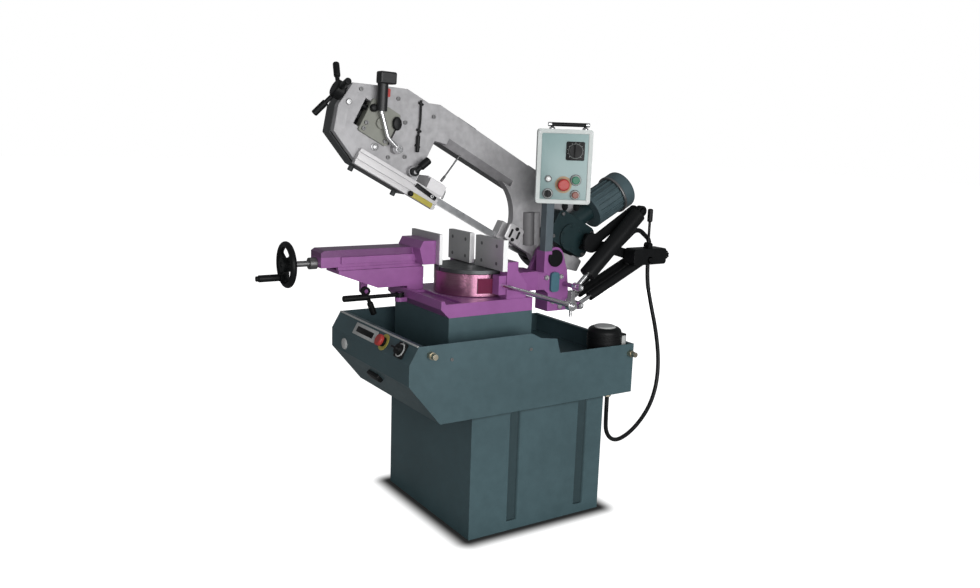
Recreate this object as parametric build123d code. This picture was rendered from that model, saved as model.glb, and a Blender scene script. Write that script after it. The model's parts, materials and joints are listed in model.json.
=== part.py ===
"""Mitre band saw for metal on a cabinet stand, bow raised.

Millimetres. The origin is on the floor under the middle of the cabinet, +Z is up,
-Y is the operator's side (vise handwheel, console) and +X the side of the gearbox.
The bow is drawn level, with its hinge at the local origin, and then raised.
"""
import math
import os

from build123d import *

# Cabinet
CABINET_WIDTH = 584.0
CABINET_DEPTH = 560.0
CABINET_HEIGHT = 432.0
SHEET = 3.0
GROOVE_WIDTH = 44.0
GROOVE_DEPTH = 9.0
GROOVE_DRAFT = 7.0
GROOVE_FOOT = 34.0
GROOVE_PLACES = (-105.0, 187.0)
FLOOR_FLANGE = 58.0
FLOOR_PLATE = 4.0
ANCHOR_HOLE_R = 7.0
ANCHOR_INSET = 36.0

# Tray on the cabinet, with the console along its front
TRAY_HALF_WIDTH = 301.0
TRAY_REAR = 405.0
TRAY_FRONT_FOOT = -406.0
TRAY_NOSE_Y = -521.0
TRAY_NOSE_LOW = CABINET_HEIGHT + 139.0
TRAY_NOSE_HIGH = CABINET_HEIGHT + 206.0
TRAY_TOP_Y = -488.0
TRAY_TOP = CABINET_HEIGHT + 264.0
TRAY_REAR_TOP = CABINET_HEIGHT + 182.0
TRAY_STEP = ((-57.0, 1.0), (-18.0, -19.0), (50.0, -28.0), (66.0, -80.0))
TRAY_FLOOR = CABINET_HEIGHT + 108.0
TRAY_LIP = 18.0
TRAY_WELL = (250.0, 240.0)

# Console controls on the sloping front face
ESTOP_X = TRAY_HALF_WIDTH - 210.0
MAIN_SWITCH_X = TRAY_HALF_WIDTH - 84.0
ESTOP_COLLAR_R = 16.0
ESTOP_COLLAR_H = 9.0
ESTOP_HEAD_R = 20.0
ESTOP_HEAD_H = 13.0
ESTOP_STEM_R = 9.0
ESTOP_TRAVEL = 5.0
SWITCH_PLATE = 52.0
SWITCH_PLATE_H = 6.0
SWITCH_KNOB_R = 17.0
SWITCH_KNOB_H = 14.0
WING_INSET = 1.0

# Fits
RUNNING = 0.05
SLIDING = 0.3
HEAD_CLEAR = 1.0
GRIP_ROUND = 4.0

# Riser and bed
RISER_HALF_WIDTH = 194.0
RISER_FRONT = -320.0
RISER_REAR = 16.0
RISER_WALL = 6.0
RISER_HEIGHT = 211.0
BED_BOTTOM = TRAY_FLOOR + RISER_HEIGHT
BED_HEIGHT = 46.0
BED_TOP = BED_BOTTOM + BED_HEIGHT
BED_FRONT = -350.0
BED_FRONT_LOW = BED_BOTTOM + 30.0
BED_LIP = 12.0
BED_LIP_DRAFT = 6.0
BED_ROOF = 20.0
BED_WALL = 14.0
TROUGH_DEPTH = 8.0
SPIGOT_R = 30.0
SPIGOT_H = 74.0
LUG_DROP = 14.0

# Swivel and turntable
SWIVEL_Y = -112.0
DRUM_R = 138.0
DRUM_HEIGHT = 80.0
DRUM_TOP = BED_TOP + DRUM_HEIGHT
TABLE_THICK = 13.0
TABLE_TOP = DRUM_TOP + TABLE_THICK
KERF_WIDTH = 8.0
ARM_LEFT = -20.0
ARM_RIGHT = 130.0
ARM_END = 85.0
ARM_BOTTOM = BED_TOP + 9.0
ARM_TOP = DRUM_TOP - 3.0
POINTER_R = 144.0
POINTER_SIZE = 52.0
POINTER_DEPTH = 20.0
POINTER_TURN = -14.0
DRUM_EDGE = 2.0
ARM_ROOT = 60.0
ARM_WAIST = 20.0

# Vise
JAW_CLEARANCE = 3.0
JAW_HEIGHT = 107.0
JAW_BOTTOM = TABLE_TOP + JAW_CLEARANCE
JAW_TOP = JAW_BOTTOM + JAW_HEIGHT
JAW_THICK = 19.0
LEFT_JAW = (-174.0, -24.0)
RIGHT_JAW = (15.0, 192.0)
WALL_THICK = 45.0
WALL_TOP = JAW_BOTTOM + 31.0
WALL_FOOT_X = 147.0
WALL_FOOT_REAR = -12.0
LEFT_FOOT_REAR = -24.0
LEFT_WALL_END = -83.0
JAW_OPENING = 116.0
MOVING_JAW_THICK = 12.0
MOVING_JAW = (-225.0, -17.0)
VISE_X = -145.0
SUPPORT_HALF = 54.0
SUPPORT_KNEE = -440.0
SUPPORT_NOSE = -585.0
SUPPORT_REAR = -262.0
SUPPORT_BOTTOM = BED_TOP + 16.0
SUPPORT_TOP = BED_TOP + 83.0
VISE_AXIS_Z = SUPPORT_TOP + 23.0
WAY_HEIGHT = 11.0
SUPPORT_LIP = 12.0
VISE_LUG_R = 12.0
VISE_LUG_ROOT = 20.0
SLIDE_HALF = 45.0
SLIDE_WALL = 18.0
SLIDE_TOP = SUPPORT_TOP + 70.0
SLIDE_ROOF = 24.0
SLIDE_FRONT = -645.0
SLIDE_END_WALL = 20.0
SLIDE_BEVEL = (12.0, 8.0)
SLIDE_LEDGE_START = 70.0
SLIDE_LEDGE = 8.0
SLIDE_LEDGE_Z = (VISE_AXIS_Z, VISE_AXIS_Z + 23.0)
HEAD_LENGTH = 50.0
HEAD_SLOPE = 14.0
HEAD_TOP = SLIDE_TOP + 26.0
HEAD_X = (-205.0, -43.0)
SCREW_R = 10.0
NUT_HALF = 16.0
NUT_LENGTH = 44.0
NUT_MIDDLE = -435.0
COLLAR_R = 20.0
COLLAR_LENGTH = 26.0
KEEPER_LENGTH = 12.0
KEEPER_LIP = 5.0
SCREW_OVERHANG = 14.0
SCREW_TIP_GAP = 14.0
HANDWHEEL_R = 78.0
HANDWHEEL_RIM = 11.0
HANDWHEEL_Y = -748.0
HANDWHEEL_HUB_R = 24.0
HANDWHEEL_HUB_H = 36.0
HANDWHEEL_SPOKES = (30.0, 150.0, 270.0)
SPOKE_WIDTH = 22.0
SPOKE_THICK = 11.0
CRANK_OFFSET = (-36.0, -48.0)
CRANK_PIN_R = 6.0
CRANK_PAD_R = 13.2
CRANK_PAD_BACK = 9.0
CRANK_HEAD_H = 6.0
CRANK_HEAD_LIP = 3.0
GRIP_R = 12.0
GRIP_LENGTH = 74.0
GRIP_CHAMFER = 3.0

# Bar stop
STOP_Y = -106.0
STOP_Z = BED_TOP + 48.0
STOP_ROD_R = 8.0
STOP_ROD_X = (150.0, 583.0)
STOP_LUG_X = (147.0, 186.0)
STOP_LUG_H = 66.0
STOP_HEAD_X = 560.0
STOP_HEAD_W = 20.0
STOP_ROD_CHAMFER = 1.5
STOP_FINGER_W = 14.0
STOP_FINGER_H = 46.0
STOP_SCREW_R = 5.0
STOP_SCREW_DROP = 34.0
STOP_SCREW_ROOT = 2.0

# Bow hinge on the swivel arm
HINGE_Y = 155.0
HINGE_Z = ARM_TOP + 44.0
HINGE_PIN_R = 14.0
EAR_R = 40.0
EAR_THICK = 16.0
EAR_INNER_X = 54.0
EAR_OUTER_X = 114.0
BRACKET_REAR = 225.0
BRACKET_FOOT = ARM_BOTTOM - 82.0
BRACKET_WEB_TOP = ARM_TOP - 12.0
BRACKET_FOOT_LENGTH = 95.0
BRACKET_HEEL = 46.0
BRACKET_KNEE = (20.0, 15.0)
BRACKET_LEAN = 12.0
WEB_LEAN = 14.0
EAR_TOP = (20.0, 33.0)
EAR_RISE = 6.0
PIN_COLLAR_LIP = 4.0
PIN_COLLAR_H = 5.0
HINGE_CAP_R = 31.0
HINGE_CAP_H = 8.0
HINGE_CAP_EDGE = 2.0
SWITCH_CASE_Y = (-20.0, 16.0)
SWITCH_CASE_Z = (-122.0, -50.0)
SWITCH_CASE_X = 11.0
SWITCH_CASE_CORNER = 12.0

# Bow, level, measured from the hinge: y along the band, z square to it
RAISE = 28.0
BAND_AXIS = -20.8
BAND_WIDTH = 27.0
BAND_THICK = 0.9
BAND_GAP = 0.3
TOOTH_PITCH = 6.0
TOOTH_DEPTH = 2.4
TOOTH_BACK = 4.2
WHEEL_R = 110.0
WHEEL_WIDTH = 26.0
WHEEL_RIM = 12.0
WHEEL_WEB = 8.0
WHEEL_HOLES = 6
WHEEL_HOLE_R = 18.7
WHEEL_HOLE_AT = 63.8
WHEEL_HUB_R = 29.4
SHAFT_COVER = 12.0
WHEEL_SPAN = 832.0
DRIVE_Y = 32.0
IDLER_Y = DRIVE_Y - WHEEL_SPAN
WHEEL_Z = BAND_AXIS + WHEEL_R + BAND_GAP + BAND_THICK / 2
AXLE_R = 14.0
CASTING_X = (18.0, 50.0)
COVER_X = (-40.0, 17.5)
COVER_SHEET = 3.0
BEAM_TOP = 250.0
BEAM_BOTTOM = 150.0
FRONT_END = IDLER_Y - 135.0
FRONT_HOUSE_END = IDLER_Y + 203.0
FRONT_BOTTOM = -56.0
HOUSE_STEP = 40.0
HOUSE_DROP = 10.0
BEAM_CROWN = 2.0
NOSE_SHOULDER = 5.0
NOSE_CROWN = ((115.0, -41.0), (170.0, -16.0), (259.0, -15.0), (298.0, 2.0))
NOSE_CHIN = ((127.0, 0.0), (13.0, 50.0), (-11.0, 128.0))
NOSE_BEVEL = (32.0, 6.0)
COVER_BOTTOM = -62.0
LEG_FRONT = -192.0
LEG_BOTTOM = -20.0
REAR_R = WHEEL_R + 25.0
REAR_SHOULDER = (20.0, -2.0)
LEG_SWEEP = 100.0
LEG_BEND = (22.0, 46.0)
LEG_SHIN = (20.0, 20.0)
LEG_ANKLE = 32.0
LEG_HEEL = 75.0
LEG_ROOT = 10.0
BEAM_CHAMFER = (30.0, 24.0)
BEAM_CHAMFER_ENDS = (45.0, 60.0)
AXLE_CLEAR = 8.0
COVER_HINGES = (FRONT_HOUSE_END + 97.0, -160.0)
COVER_HINGE_R = 5.0
COVER_HINGE_LENGTH = 40.0
COVER_HINGE_PIN_R = 2.5
COVER_HINGE_Z = BEAM_TOP + 7.5
COVER_LEAF_LAP = 1.0
COVER_KNOB_R = 9.0
COVER_KNOB_H = 16.0
COVER_KNOB_X = 18.0
COVER_KNOBS = (FRONT_END + 145.0, FRONT_HOUSE_END - 20.0)
BAND_WAY = (-22.0, 22.0)
BAND_WAY_SIDE = 4.0
BAND_WAY_START = 20.0
GUIDE_WAY = (14.0, 34.0)
GUIDE_WAY_TOP = 8.0
REAR_WAY = 20.0
REAR_WAY_END = 48.0

# Band tension
TENSION_SLOT_HALF = 45.0
TENSION_BLOCK_LENGTH = 110.0
TENSION_TRAVEL = 6.0
TENSION_SLOT_START = 78.0
TENSION_SLOT_SPARE = 1.0
TENSION_SCREW_R = 9.0
TENSION_SCREW_X = 34.0
TENSION_HUB = FRONT_END - 28.0
TENSION_RISE = 23.0
TENSION_HUB_R = 29.0
TENSION_HUB_H = 34.0
TENSION_ARM = 105.0
TENSION_ARM_R = 7.0
TENSION_KNOB_R = 10.5
TENSION_ARMS = (-38.0, 82.0, 202.0)
TENSION_ARM_DISH = 22.0
TENSION_HUB_ROUND = 8.0
TENSION_SCREW_SEAT = 5.0
TENSION_SCREW_REACH = 40.0
TENSION_BORE = 50.0
KEEPER_SHIFT = 4.0
KEEPER_LAP = 12.0
KEEPER_CORNER = 8.0
KEEPER_PLATE = 11.0
AXLE_OVERHANG = 2.0
AXLE_CAP = (5.0, 6.0)
AXLE_SHOULDER = 6.0
AXLE_NUT = (4.0, 9.0)

# Band guides
BAR_X = (50.3, 70.0)
BAR_ENDS = (IDLER_Y - 25.0, IDLER_Y + 300.0)
BAR_Z = (-66.0, -12.0)
BAR_GROOVE = 5.0
GUIDE_FOOT = -24.0
FRONT_GUIDE = (BAR_ENDS[1] - 60.0, BAR_ENDS[1] + 8.0)
FRONT_GUIDE_TOP = 30.0
REAR_GUIDE = (-196.0, -118.0)
REAR_GUIDE_TOP = 40.0
GUIDE_HALF = 21.0
GUIDE_SLOT = 2.4
GUIDE_SLOT_TOP = 4.0
REAR_BOLT_R = 8.0
REAR_BOLT_H = 8.0
REAR_BOLT_Z = 22.0
REAR_BOLT_SPREAD = 20.0
PAD_SCREW_R = 7.0
PAD_SCREW_H = 7.0
PAD_SCREW_Z = -6.0
PAD_SCREW_INSET = 18.0
GUIDE_STEP = 6.0
BAR_CORNER = 4.0
BAR_GROOVE_W = 6.0
BAR_GROOVE_SPREAD = 12.0
BAND_TWISTS = ((FRONT_HOUSE_END - 4.0, FRONT_HOUSE_END - 172.0), (REAR_GUIDE[1] + 2.0, DRIVE_Y - 14.0))
LOCK_AT = (FRONT_HOUSE_END - 31.0, 10.0)
LOCK_HUB_R = 14.0
LOCK_BOSS_LIP = 3.0
LOCK_REACH = (26.0, 58.0)
LOCK_GRIP_START = (10.0, 22.0)
LOCK_ARM_R = 9.0
LOCK_GRIP_R = 13.0
LOCK_ARM_X = (10.0, 11.0, 12.0)

# Pull handle
HANDLE_X = 80.0
HANDLE_STEPS = ((85.0, 45.0), (35.0, 58.0), (-22.0, 116.0), (-60.0, 195.0))
HANDLE_ROUTE = tuple((IDLER_Y + y, z) for y, z in HANDLE_STEPS)
HANDLE_BEND_R = 30.0
HANDLE_ROD_R = 7.0
HANDLE_BOSS_R = 16.0
HANDLE_FOOT_R = 12.0
HANDLE_FOOT_LIP = 1.0
HANDLE_GRIP_R = 17.0
HANDLE_GRIP_LENGTH = 84.0
HANDLE_HEAD = (37.0, 57.0, 38.0)
HANDLE_HEAD_REACH = 40.0
HANDLE_HEAD_ROUND = 6.0
TRIGGER_SIZE = (9.0, 26.0, 16.0)
TRIGGER_TRAVEL = 5.0
TRIGGER_SPARE = 3.0
TRIGGER_ROOT = 2.0
TRIGGER_ROUND = 3.0

# Gearbox and motor
GEARBOX_Y = (-60.0, 128.0)
GEARBOX_Z = (52.0, 172.0)
GEARBOX_X_END = 118.0
GEARBOX_CORNER = 26.0
GEAR_COVER_R = 50.0
GEAR_COVER_H = 8.0
GEAR_COVER_RISE = 8.0
GEAR_BOLTS = 6
GEAR_BOLT_AT = 42.0
GEAR_BOLT_R = 5.0
GEAR_BOLT_H = 4.0
KNUCKLE_X = (72.0, 112.0)
KNUCKLE_R = 36.0
KNUCKLE_TAIL = (78.0, 130.0)
KNUCKLE_TAIL_Z = (2.0, 48.0)
KNUCKLE_TAIL_CORNER = 8.0
KNUCKLE_ROOT = (-24.0, 34.0)
KNUCKLE_LAP = 10.0
KNUCKLE_ARM_TOP = 46.0
MOTOR_X = 85.0
MOTOR_AT = (0.0, 105.0)
MOTOR_LEAN = 56.0
MOTOR_START = 144.0
MOTOR_LENGTH = 130.0
MOTOR_R = 66.0
MOTOR_FIN = 5.0
MOTOR_FINS = 20
MOTOR_FIN_THICK = 4.0
MOTOR_FLANGE = 14.0
MOTOR_NECK_R = 33.0
COWL_R = 72.0
COWL_LENGTH = 56.0
COWL_ROUND = 16.0
COWL_SLOTS = 8
COWL_SLOT_AT = 43.2
COWL_SLOT = (36.0, 6.0, 8.0)

# Counterbalance spring and hydraulic feed cylinder behind the bow
STRUT_PLATE_X = (160.0, 170.0)
STRUT_ROOT = (95.0, 112.0)
STRUT_PIN_R = 8.0
STRUT_PIN_SLACK = 5.0
STRUT_ARM_W = 36.0
STRUT_SPACER_R = 11.0
STRUT_SPACER_SPREAD = 22.0
STRUT_PIN_SPARE = 2.0
VALVE_PIN_SPARE = 4.0
SPRING_FOOT = (200.0, HINGE_Z - 96.0)
SPRING_TOP = (211.0, 305.0)
SPRING_X = 205.0
SPRING_SLEEVE_R = 30.0
SPRING_ROD_R = 9.0
FEED_FOOT = (205.0, BRACKET_FOOT + 33.0)
FEED_TOP = (327.0, 162.0)
FEED_X = (142.0, 205.0)
FEED_TUBE_R = 17.0
FEED_ROD_R = 8.0
STRUT_EYE_R = 15.0
STRUT_EYE_W = 22.0
STRUT_ROD_SHOWN = 62.0
STRUT_HEAD = 70.0
STRUT_MOUTH = 14.0
STRUT_WALL = 5.0
STRUT_ROD_SPARE = 6.0
STRUT_EYE_WALL = 7.0
STRUT_NECK = 16.0
STRUT_NECK_LAP = 5.0
VALVE_BLOCK_Y = (HINGE_Y + 285.0, HINGE_Y + 445.0)
VALVE_BLOCK_Z = (HINGE_Z - 28.0, HINGE_Z + 32.0)
VALVE_BLOCK_X = (180.0, 236.0)
VALVE_LEVER_Y = HINGE_Y + 376.0
VALVE_LEVER_TOP = VALVE_BLOCK_Z[1] + 146.0
VALVE_LEVER_R = 5.0
VALVE_GRIP_R = 10.0
VALVE_GRIP_H = 50.0
VALVE_GRIP_ROUND = 6.0
VALVE_CORNER = 12.0
VALVE_PIVOT_RISE = 10.0
VALVE_PIVOT_R = 4.0
VALVE_HUB_R = 9.0
VALVE_HUB_HALF = 6.0
VALVE_EAR_R = 10.0
VALVE_EAR_OUT = 14.0
VALVE_EAR_ROOT = 4.0
FLOW_KNOB_R = 16.0
FLOW_KNOB_H = 26.0
FLOW_KNOB_STUB_R = 5.0
FLOW_KNOB_CAP = 8.0
FLOW_KNOB_FLUTES = 8
FLOW_KNOB_FLUTE_R = 3.5
FLOW_KNOB_FLUTE_OUT = 1.0

# Control box on its post
POST_X = (132.0, 164.0)
POST_Y = (83.0, 115.0)
POST_BOTTOM = HINGE_Z + 32.0
SEAT_PLATE = 12.0
SEAT_REAR = 140.0
POST_WALL = 4.0
BOX_FACE = (200.0, 122.0)
BOX_TURN = -33.4
POST_LENGTH = 170.0
BOX_BOTTOM = POST_BOTTOM + POST_LENGTH
BOX_WIDTH = 190.0
BOX_HEIGHT = 255.0
BOX_DEPTH = 80.0
BOX_CORNER = 10.0
BOX_FRAME = 14.0
BOX_RECESS = 3.0
BOX_HANDLE_SPAN = (-57.0, 82.0)
BOX_HANDLE_R = 7.0
BOX_HANDLE_GAP = 16.0
BOX_HANDLE_LEG_R = 6.0
BOX_HANDLE_LEG_INSET = 12.0
BOX_HANDLE_ROUND = 2.0
DIAL_AT = (36.0, 182.0)
DIAL_R = 23.0
STOP_BUTTON_AT = (0.0, 66.0)
START_BUTTON_AT = (42.0, 83.0)
COOLANT_BUTTON_AT = (42.0, 32.0)
SELECTOR_AT = (-53.0, 34.0)
BOX_COLLARS = (
    (STOP_BUTTON_AT, 16.0),
    (START_BUTTON_AT, 16.0),
    (COOLANT_BUTTON_AT, 14.0),
    (SELECTOR_AT, 15.0),
    (DIAL_AT, 26.0),
)
BUTTON_COLLAR_H = 5.0
BUTTON_TRAVEL = 3.0
STEM_R = 7.0
STEM_FOOT = 1.0
STEM_HOLE_SPARE = 2.0
DIAL_H = 12.0
DIAL_WING = 7.0
SELECTOR_R = 13.0
SELECTOR_H = 8.0
SELECTOR_WING = 6.0
START_R = 14.0
START_H = 6.0
STOP_R = 21.0
STOP_H = 13.0
COOLANT_R = 12.0
COOLANT_H = 6.0

# Levers under the vise and the bed
SWIVEL_LEVER_AT = (-60.0, BED_FRONT - 22.0)
SWIVEL_LEVER_Z = BED_TOP - 7.0
SWIVEL_LEVER_END = BED_FRONT - 234.0
VISE_LEVER_AT = (SUPPORT_KNEE - 22.0, SUPPORT_BOTTOM - 19.0)
VISE_LEVER_TIP = (SUPPORT_KNEE + 12.0, SUPPORT_BOTTOM - 105.0)
VISE_LEVER_GRIP = 48.0
LEVER_ROD_R = 7.0
LEVER_GRIP_R = 11.0
LEVER_GRIP = 92.0
LEVER_HUB_R = 16.0
LEVER_HUB_H = 16.0

# Coolant
PUMP_AT = (TRAY_HALF_WIDTH - 66.0, TRAY_REAR - 87.0)
PUMP_R = 62.0
PUMP_TOP = TRAY_FLOOR + 132.0
PUMP_BASE = 12.0
PUMP_COLUMN_R = 24.0
PUMP_BASE_R = 56.0
PUMP_NECK_R = 50.0
PUMP_NECK_H = 36.0
PUMP_ROUND = 18.0
PUMP_COLUMN_GAP = 20.0
PUMP_BOX = (46.0, 24.0, 60.0)
PUMP_BOX_AT = (20.0, 56.0, 78.0)
TANK_X = (21.0 - TRAY_HALF_WIDTH, TRAY_HALF_WIDTH - 13.0)
TANK_Y = (130.0, TRAY_REAR - 13.0)
TANK_Z = (CABINET_HEIGHT + SHEET, TRAY_FLOOR - 12.0)
TANK_RAIL = 17.0
TANK_RAIL_W = 14.0
TANK_RAIL_FRONT = 120.0
TANK_RAIL_REAR = 20.0
TANK_RAIL_ENDS = (10.0, 110.0)

# Conduit from the swivel arm to the tray
CONDUIT_R = 8.0
CONDUIT_BEND_SHARE = 0.45
GOOSENECK_R = 9.0
GOOSENECK_X = 95.0
GOOSENECK_Z = BRACKET_FOOT + 51.0
GOOSENECK_ROUTE = (
    (BRACKET_REAR, GOOSENECK_Z),
    (BRACKET_REAR + 50.0, GOOSENECK_Z),
    (575.0, 1012.0),
    (642.0, 962.0),
    (642.0, 905.0),
)
GOOSENECK_BENDS = (34.0, 42.0, 34.0)
GLAND_R = 14.0
GLAND_H = 25.0
CONDUIT_ROUTE = (
    (95.0, 642.0, 880.0),
    (95.0, 642.0, 805.0),
    (104.0, 664.0, 706.0),
    (116.0, 690.0, 600.0),
    (130.0, 702.0, 490.0),
    (144.0, 690.0, 390.0),
    (160.0, 648.0, 310.0),
    (177.0, 580.0, 252.0),
    (194.0, 500.0, 214.0),
    (210.0, 420.0, 206.0),
    (224.0, 362.0, 252.0),
    (238.0, 346.0, 330.0),
    (238.0, 346.0, 405.0),
)
TRAY_STUD_R = 13.0
TRAY_STUD_H = 34.0
TRAY_STUD_HEX_H = 15.3
TRAY_STUD_END_R = 9.36
TRAY_STUDS = ((TRAY_TOP_Y + 41.0, TRAY_TOP - 30.0), (TRAY_REAR - 19.0, TRAY_REAR_TOP - 34.0))
TRAY_GLAND_H = 27.0


def block(x, y, z):
    """Box between two places along each axis."""
    middle = Pos((x[0] + x[1]) / 2, (y[0] + y[1]) / 2, (z[0] + z[1]) / 2)
    return middle * Box(x[1] - x[0], y[1] - y[0], z[1] - z[0])


def bar(start, end, radius):
    """Round bar between two points."""
    axis = Vector(*end) - Vector(*start)
    plane = Plane(origin=start, z_dir=axis)
    return plane.location * Cylinder(radius, axis.length, align=(Align.CENTER, Align.CENTER, Align.MIN))


def bar_x(y, z, radius, x):
    """Round bar along X."""
    return bar((x[0], y, z), (x[1], y, z), radius)


def bar_y(x, z, radius, y):
    """Round bar along Y."""
    return bar((x, y[0], z), (x, y[1], z), radius)


def outline(points, radius=0.0):
    """Face with straight sides and, where asked, rounded corners."""
    face = make_face(Polyline(*points, close=True))
    return fillet(face.vertices(), radius) if radius else face


def slab(face, x):
    """Side profile, drawn in Y and Z, given its width along X."""
    return extrude(Plane.YZ.offset(x[0]) * face, x[1] - x[0])


def tower(face, z):
    """Plan, drawn in X and Y, given its height along Z."""
    return extrude(Plane.XY.offset(z[0]) * face, z[1] - z[0])


def rectangle(y, z, radius=0.0):
    """Rectangle between two places each way."""
    face = Rectangle(y[1] - y[0], z[1] - z[0])
    if radius:
        face = fillet(face.vertices(), radius)
    return Pos((y[0] + y[1]) / 2, (z[0] + z[1]) / 2) * face


def shaft_hole(y, z, radius, x):
    """Hole that a shaft of this radius runs in."""
    return bar_x(y, z, radius + RUNNING, x)


def on_bow(part):
    """Place a piece drawn on the level bow where the raised bow has it."""
    return Location((0, HINGE_Y, HINGE_Z), (-RAISE, 0, 0)) * part


def raised(point):
    """Place of a bow point in Y and Z with the bow raised."""
    turn = math.radians(RAISE)
    y = HINGE_Y + point[0] * math.cos(turn) + point[1] * math.sin(turn)
    return y, HINGE_Z - point[0] * math.sin(turn) + point[1] * math.cos(turn)


def on_box(part):
    """Place a piece drawn against the control box's face."""
    return Location((*BOX_FACE, BOX_BOTTOM), (0, 0, BOX_TURN)) * part


def console_plane(x):
    """Plane on the console's sloping face, looking out of it."""
    rise = Vector(0, TRAY_TOP_Y - TRAY_NOSE_Y, TRAY_TOP - TRAY_NOSE_HIGH)
    middle = ((TRAY_TOP_Y + TRAY_NOSE_Y) / 2, (TRAY_TOP + TRAY_NOSE_HIGH) / 2)
    return Plane(origin=(x, *middle), x_dir=(1, 0, 0), z_dir=Vector(1, 0, 0).cross(rise))


def stack(*steps):
    """Turned piece from discs of (radius, height) set on each other along Z."""
    part = Part()
    level = 0.0
    for radius, height in steps:
        part += Pos(0, 0, level) * Cylinder(radius, height, align=(Align.CENTER, Align.CENTER, Align.MIN))
        level += height
    return part


def groove_plan(side, y, wall):
    """Plan of one pressed groove in a cabinet side, grown by the sheet on its inside."""
    face_x = side * CABINET_WIDTH / 2
    half = GROOVE_WIDTH / 2 + wall
    deep = GROOVE_DEPTH + wall
    return outline(
        (
            (face_x, y - half),
            (face_x - side * deep, y - half + GROOVE_DRAFT),
            (face_x - side * deep, y + half - GROOVE_DRAFT),
            (face_x, y + half),
        )
    )


def cabinet():
    """Folded sheet pedestal with pressed grooves and a drilled flange on the floor."""
    half_x = CABINET_WIDTH / 2
    half_y = CABINET_DEPTH / 2
    shell = block((-half_x, half_x), (-half_y, half_y), (0, CABINET_HEIGHT))
    inside = block(
        (SHEET - half_x, half_x - SHEET), (SHEET - half_y, half_y - SHEET), (FLOOR_PLATE, CABINET_HEIGHT)
    )
    for side in (-1, 1):
        for y in GROOVE_PLACES:
            shell -= tower(groove_plan(side, y, 0), (GROOVE_FOOT, CABINET_HEIGHT))
            inside -= tower(groove_plan(side, y, SHEET), (GROOVE_FOOT - SHEET, CABINET_HEIGHT))
    well_x = half_x - FLOOR_FLANGE
    well_y = half_y - FLOOR_FLANGE
    shell -= inside
    shell -= block((-well_x, well_x), (-well_y, well_y), (0, FLOOR_PLATE))
    for x in (-1, 1):
        for y in (-1, 1):
            place = Pos(x * (half_x - ANCHOR_INSET), y * (half_y - ANCHOR_INSET), FLOOR_PLATE / 2)
            shell -= place * Cylinder(ANCHOR_HOLE_R, FLOOR_PLATE)
    return shell


def tray_profile():
    """Side view of the tray: console nose at the front, stepped top edge."""
    return outline(
        (
            (TRAY_FRONT_FOOT, CABINET_HEIGHT),
            (TRAY_NOSE_Y, TRAY_NOSE_LOW),
            (TRAY_NOSE_Y, TRAY_NOSE_HIGH),
            (TRAY_TOP_Y, TRAY_TOP),
            *((y, TRAY_TOP + rise) for y, rise in TRAY_STEP),
            (TRAY_REAR, TRAY_REAR_TOP),
            (TRAY_REAR, CABINET_HEIGHT),
        )
    )


def tray():
    """Chip and coolant tray, open above its floor, hollow below it."""
    width = (-TRAY_HALF_WIDTH, TRAY_HALF_WIDTH)
    inner = (SHEET - TRAY_HALF_WIDTH, TRAY_HALF_WIDTH - SHEET)
    span = (TRAY_NOSE_Y, TRAY_REAR)
    inset = offset(tray_profile(), amount=-SHEET, kind=Kind.INTERSECTION)
    open_y = (TRAY_TOP_Y + SHEET, TRAY_REAR - SHEET)
    open_top = rectangle(open_y, (TRAY_REAR_TOP - 2 * SHEET, TRAY_TOP + SHEET))
    above = inset & rectangle(span, (TRAY_FLOOR, TRAY_TOP))
    below = inset & rectangle(span, (CABINET_HEIGHT, TRAY_FLOOR - SHEET))
    shell = slab(tray_profile(), width) - slab(above + open_top, inner) - slab(below, inner)
    shell += block(inner, (TRAY_TOP_Y, TRAY_TOP_Y + TRAY_LIP), (TRAY_TOP - SHEET, TRAY_TOP))
    shell += block(inner, (TRAY_REAR - TRAY_LIP, TRAY_REAR), (TRAY_REAR_TOP - SHEET, TRAY_REAR_TOP))
    well_x, well_y = TRAY_WELL
    shell -= block((-well_x, well_x), (-well_y, well_y), (CABINET_HEIGHT, CABINET_HEIGHT + SHEET))
    pump_hole = Pos(*PUMP_AT, TRAY_FLOOR - SHEET / 2) * Cylinder(PUMP_COLUMN_R + SLIDING, SHEET)
    estop_hole = console_plane(ESTOP_X).location * Cylinder(ESTOP_STEM_R + SLIDING, 4 * SHEET)
    return shell - pump_hole - estop_hole


def console_bezels():
    """Emergency-stop collar and main-switch plate on the sloping face."""
    collar = stack((ESTOP_COLLAR_R, ESTOP_COLLAR_H)) - stack((ESTOP_STEM_R + RUNNING, ESTOP_COLLAR_H))
    plate = Box(SWITCH_PLATE, SWITCH_PLATE, SWITCH_PLATE_H, align=(Align.CENTER, Align.CENTER, Align.MIN))
    plate = fillet(plate.edges().filter_by(Axis.Z), SWITCH_PLATE_H)
    return console_plane(ESTOP_X).location * collar + console_plane(MAIN_SWITCH_X).location * plate


def mushroom(stem_r, stem_h, head_r, head_h):
    """Push button: a stem that runs in its collar and a domed head."""
    head = Pos(0, 0, stem_h) * stack((head_r, head_h))
    rim = head.edges().filter_by(GeomType.CIRCLE).sort_by(Axis.Z)[-1]
    return stack((stem_r, stem_h)) + fillet(rim, head_h / 2)


def estop_button():
    """Red mushroom button, standing clear of its collar by its travel."""
    button = mushroom(ESTOP_STEM_R, ESTOP_COLLAR_H + ESTOP_TRAVEL + HEAD_CLEAR, ESTOP_HEAD_R, ESTOP_HEAD_H)
    return console_plane(ESTOP_X).location * button


def knob_with_wing(radius, height, wing):
    """Turning knob with a raised finger bar across it."""
    body = stack((radius, height))
    bar_part = Box(2 * (radius - WING_INSET), wing, height, align=(Align.CENTER, Align.CENTER, Align.MIN))
    return body + Pos(0, 0, height) * bar_part


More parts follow.
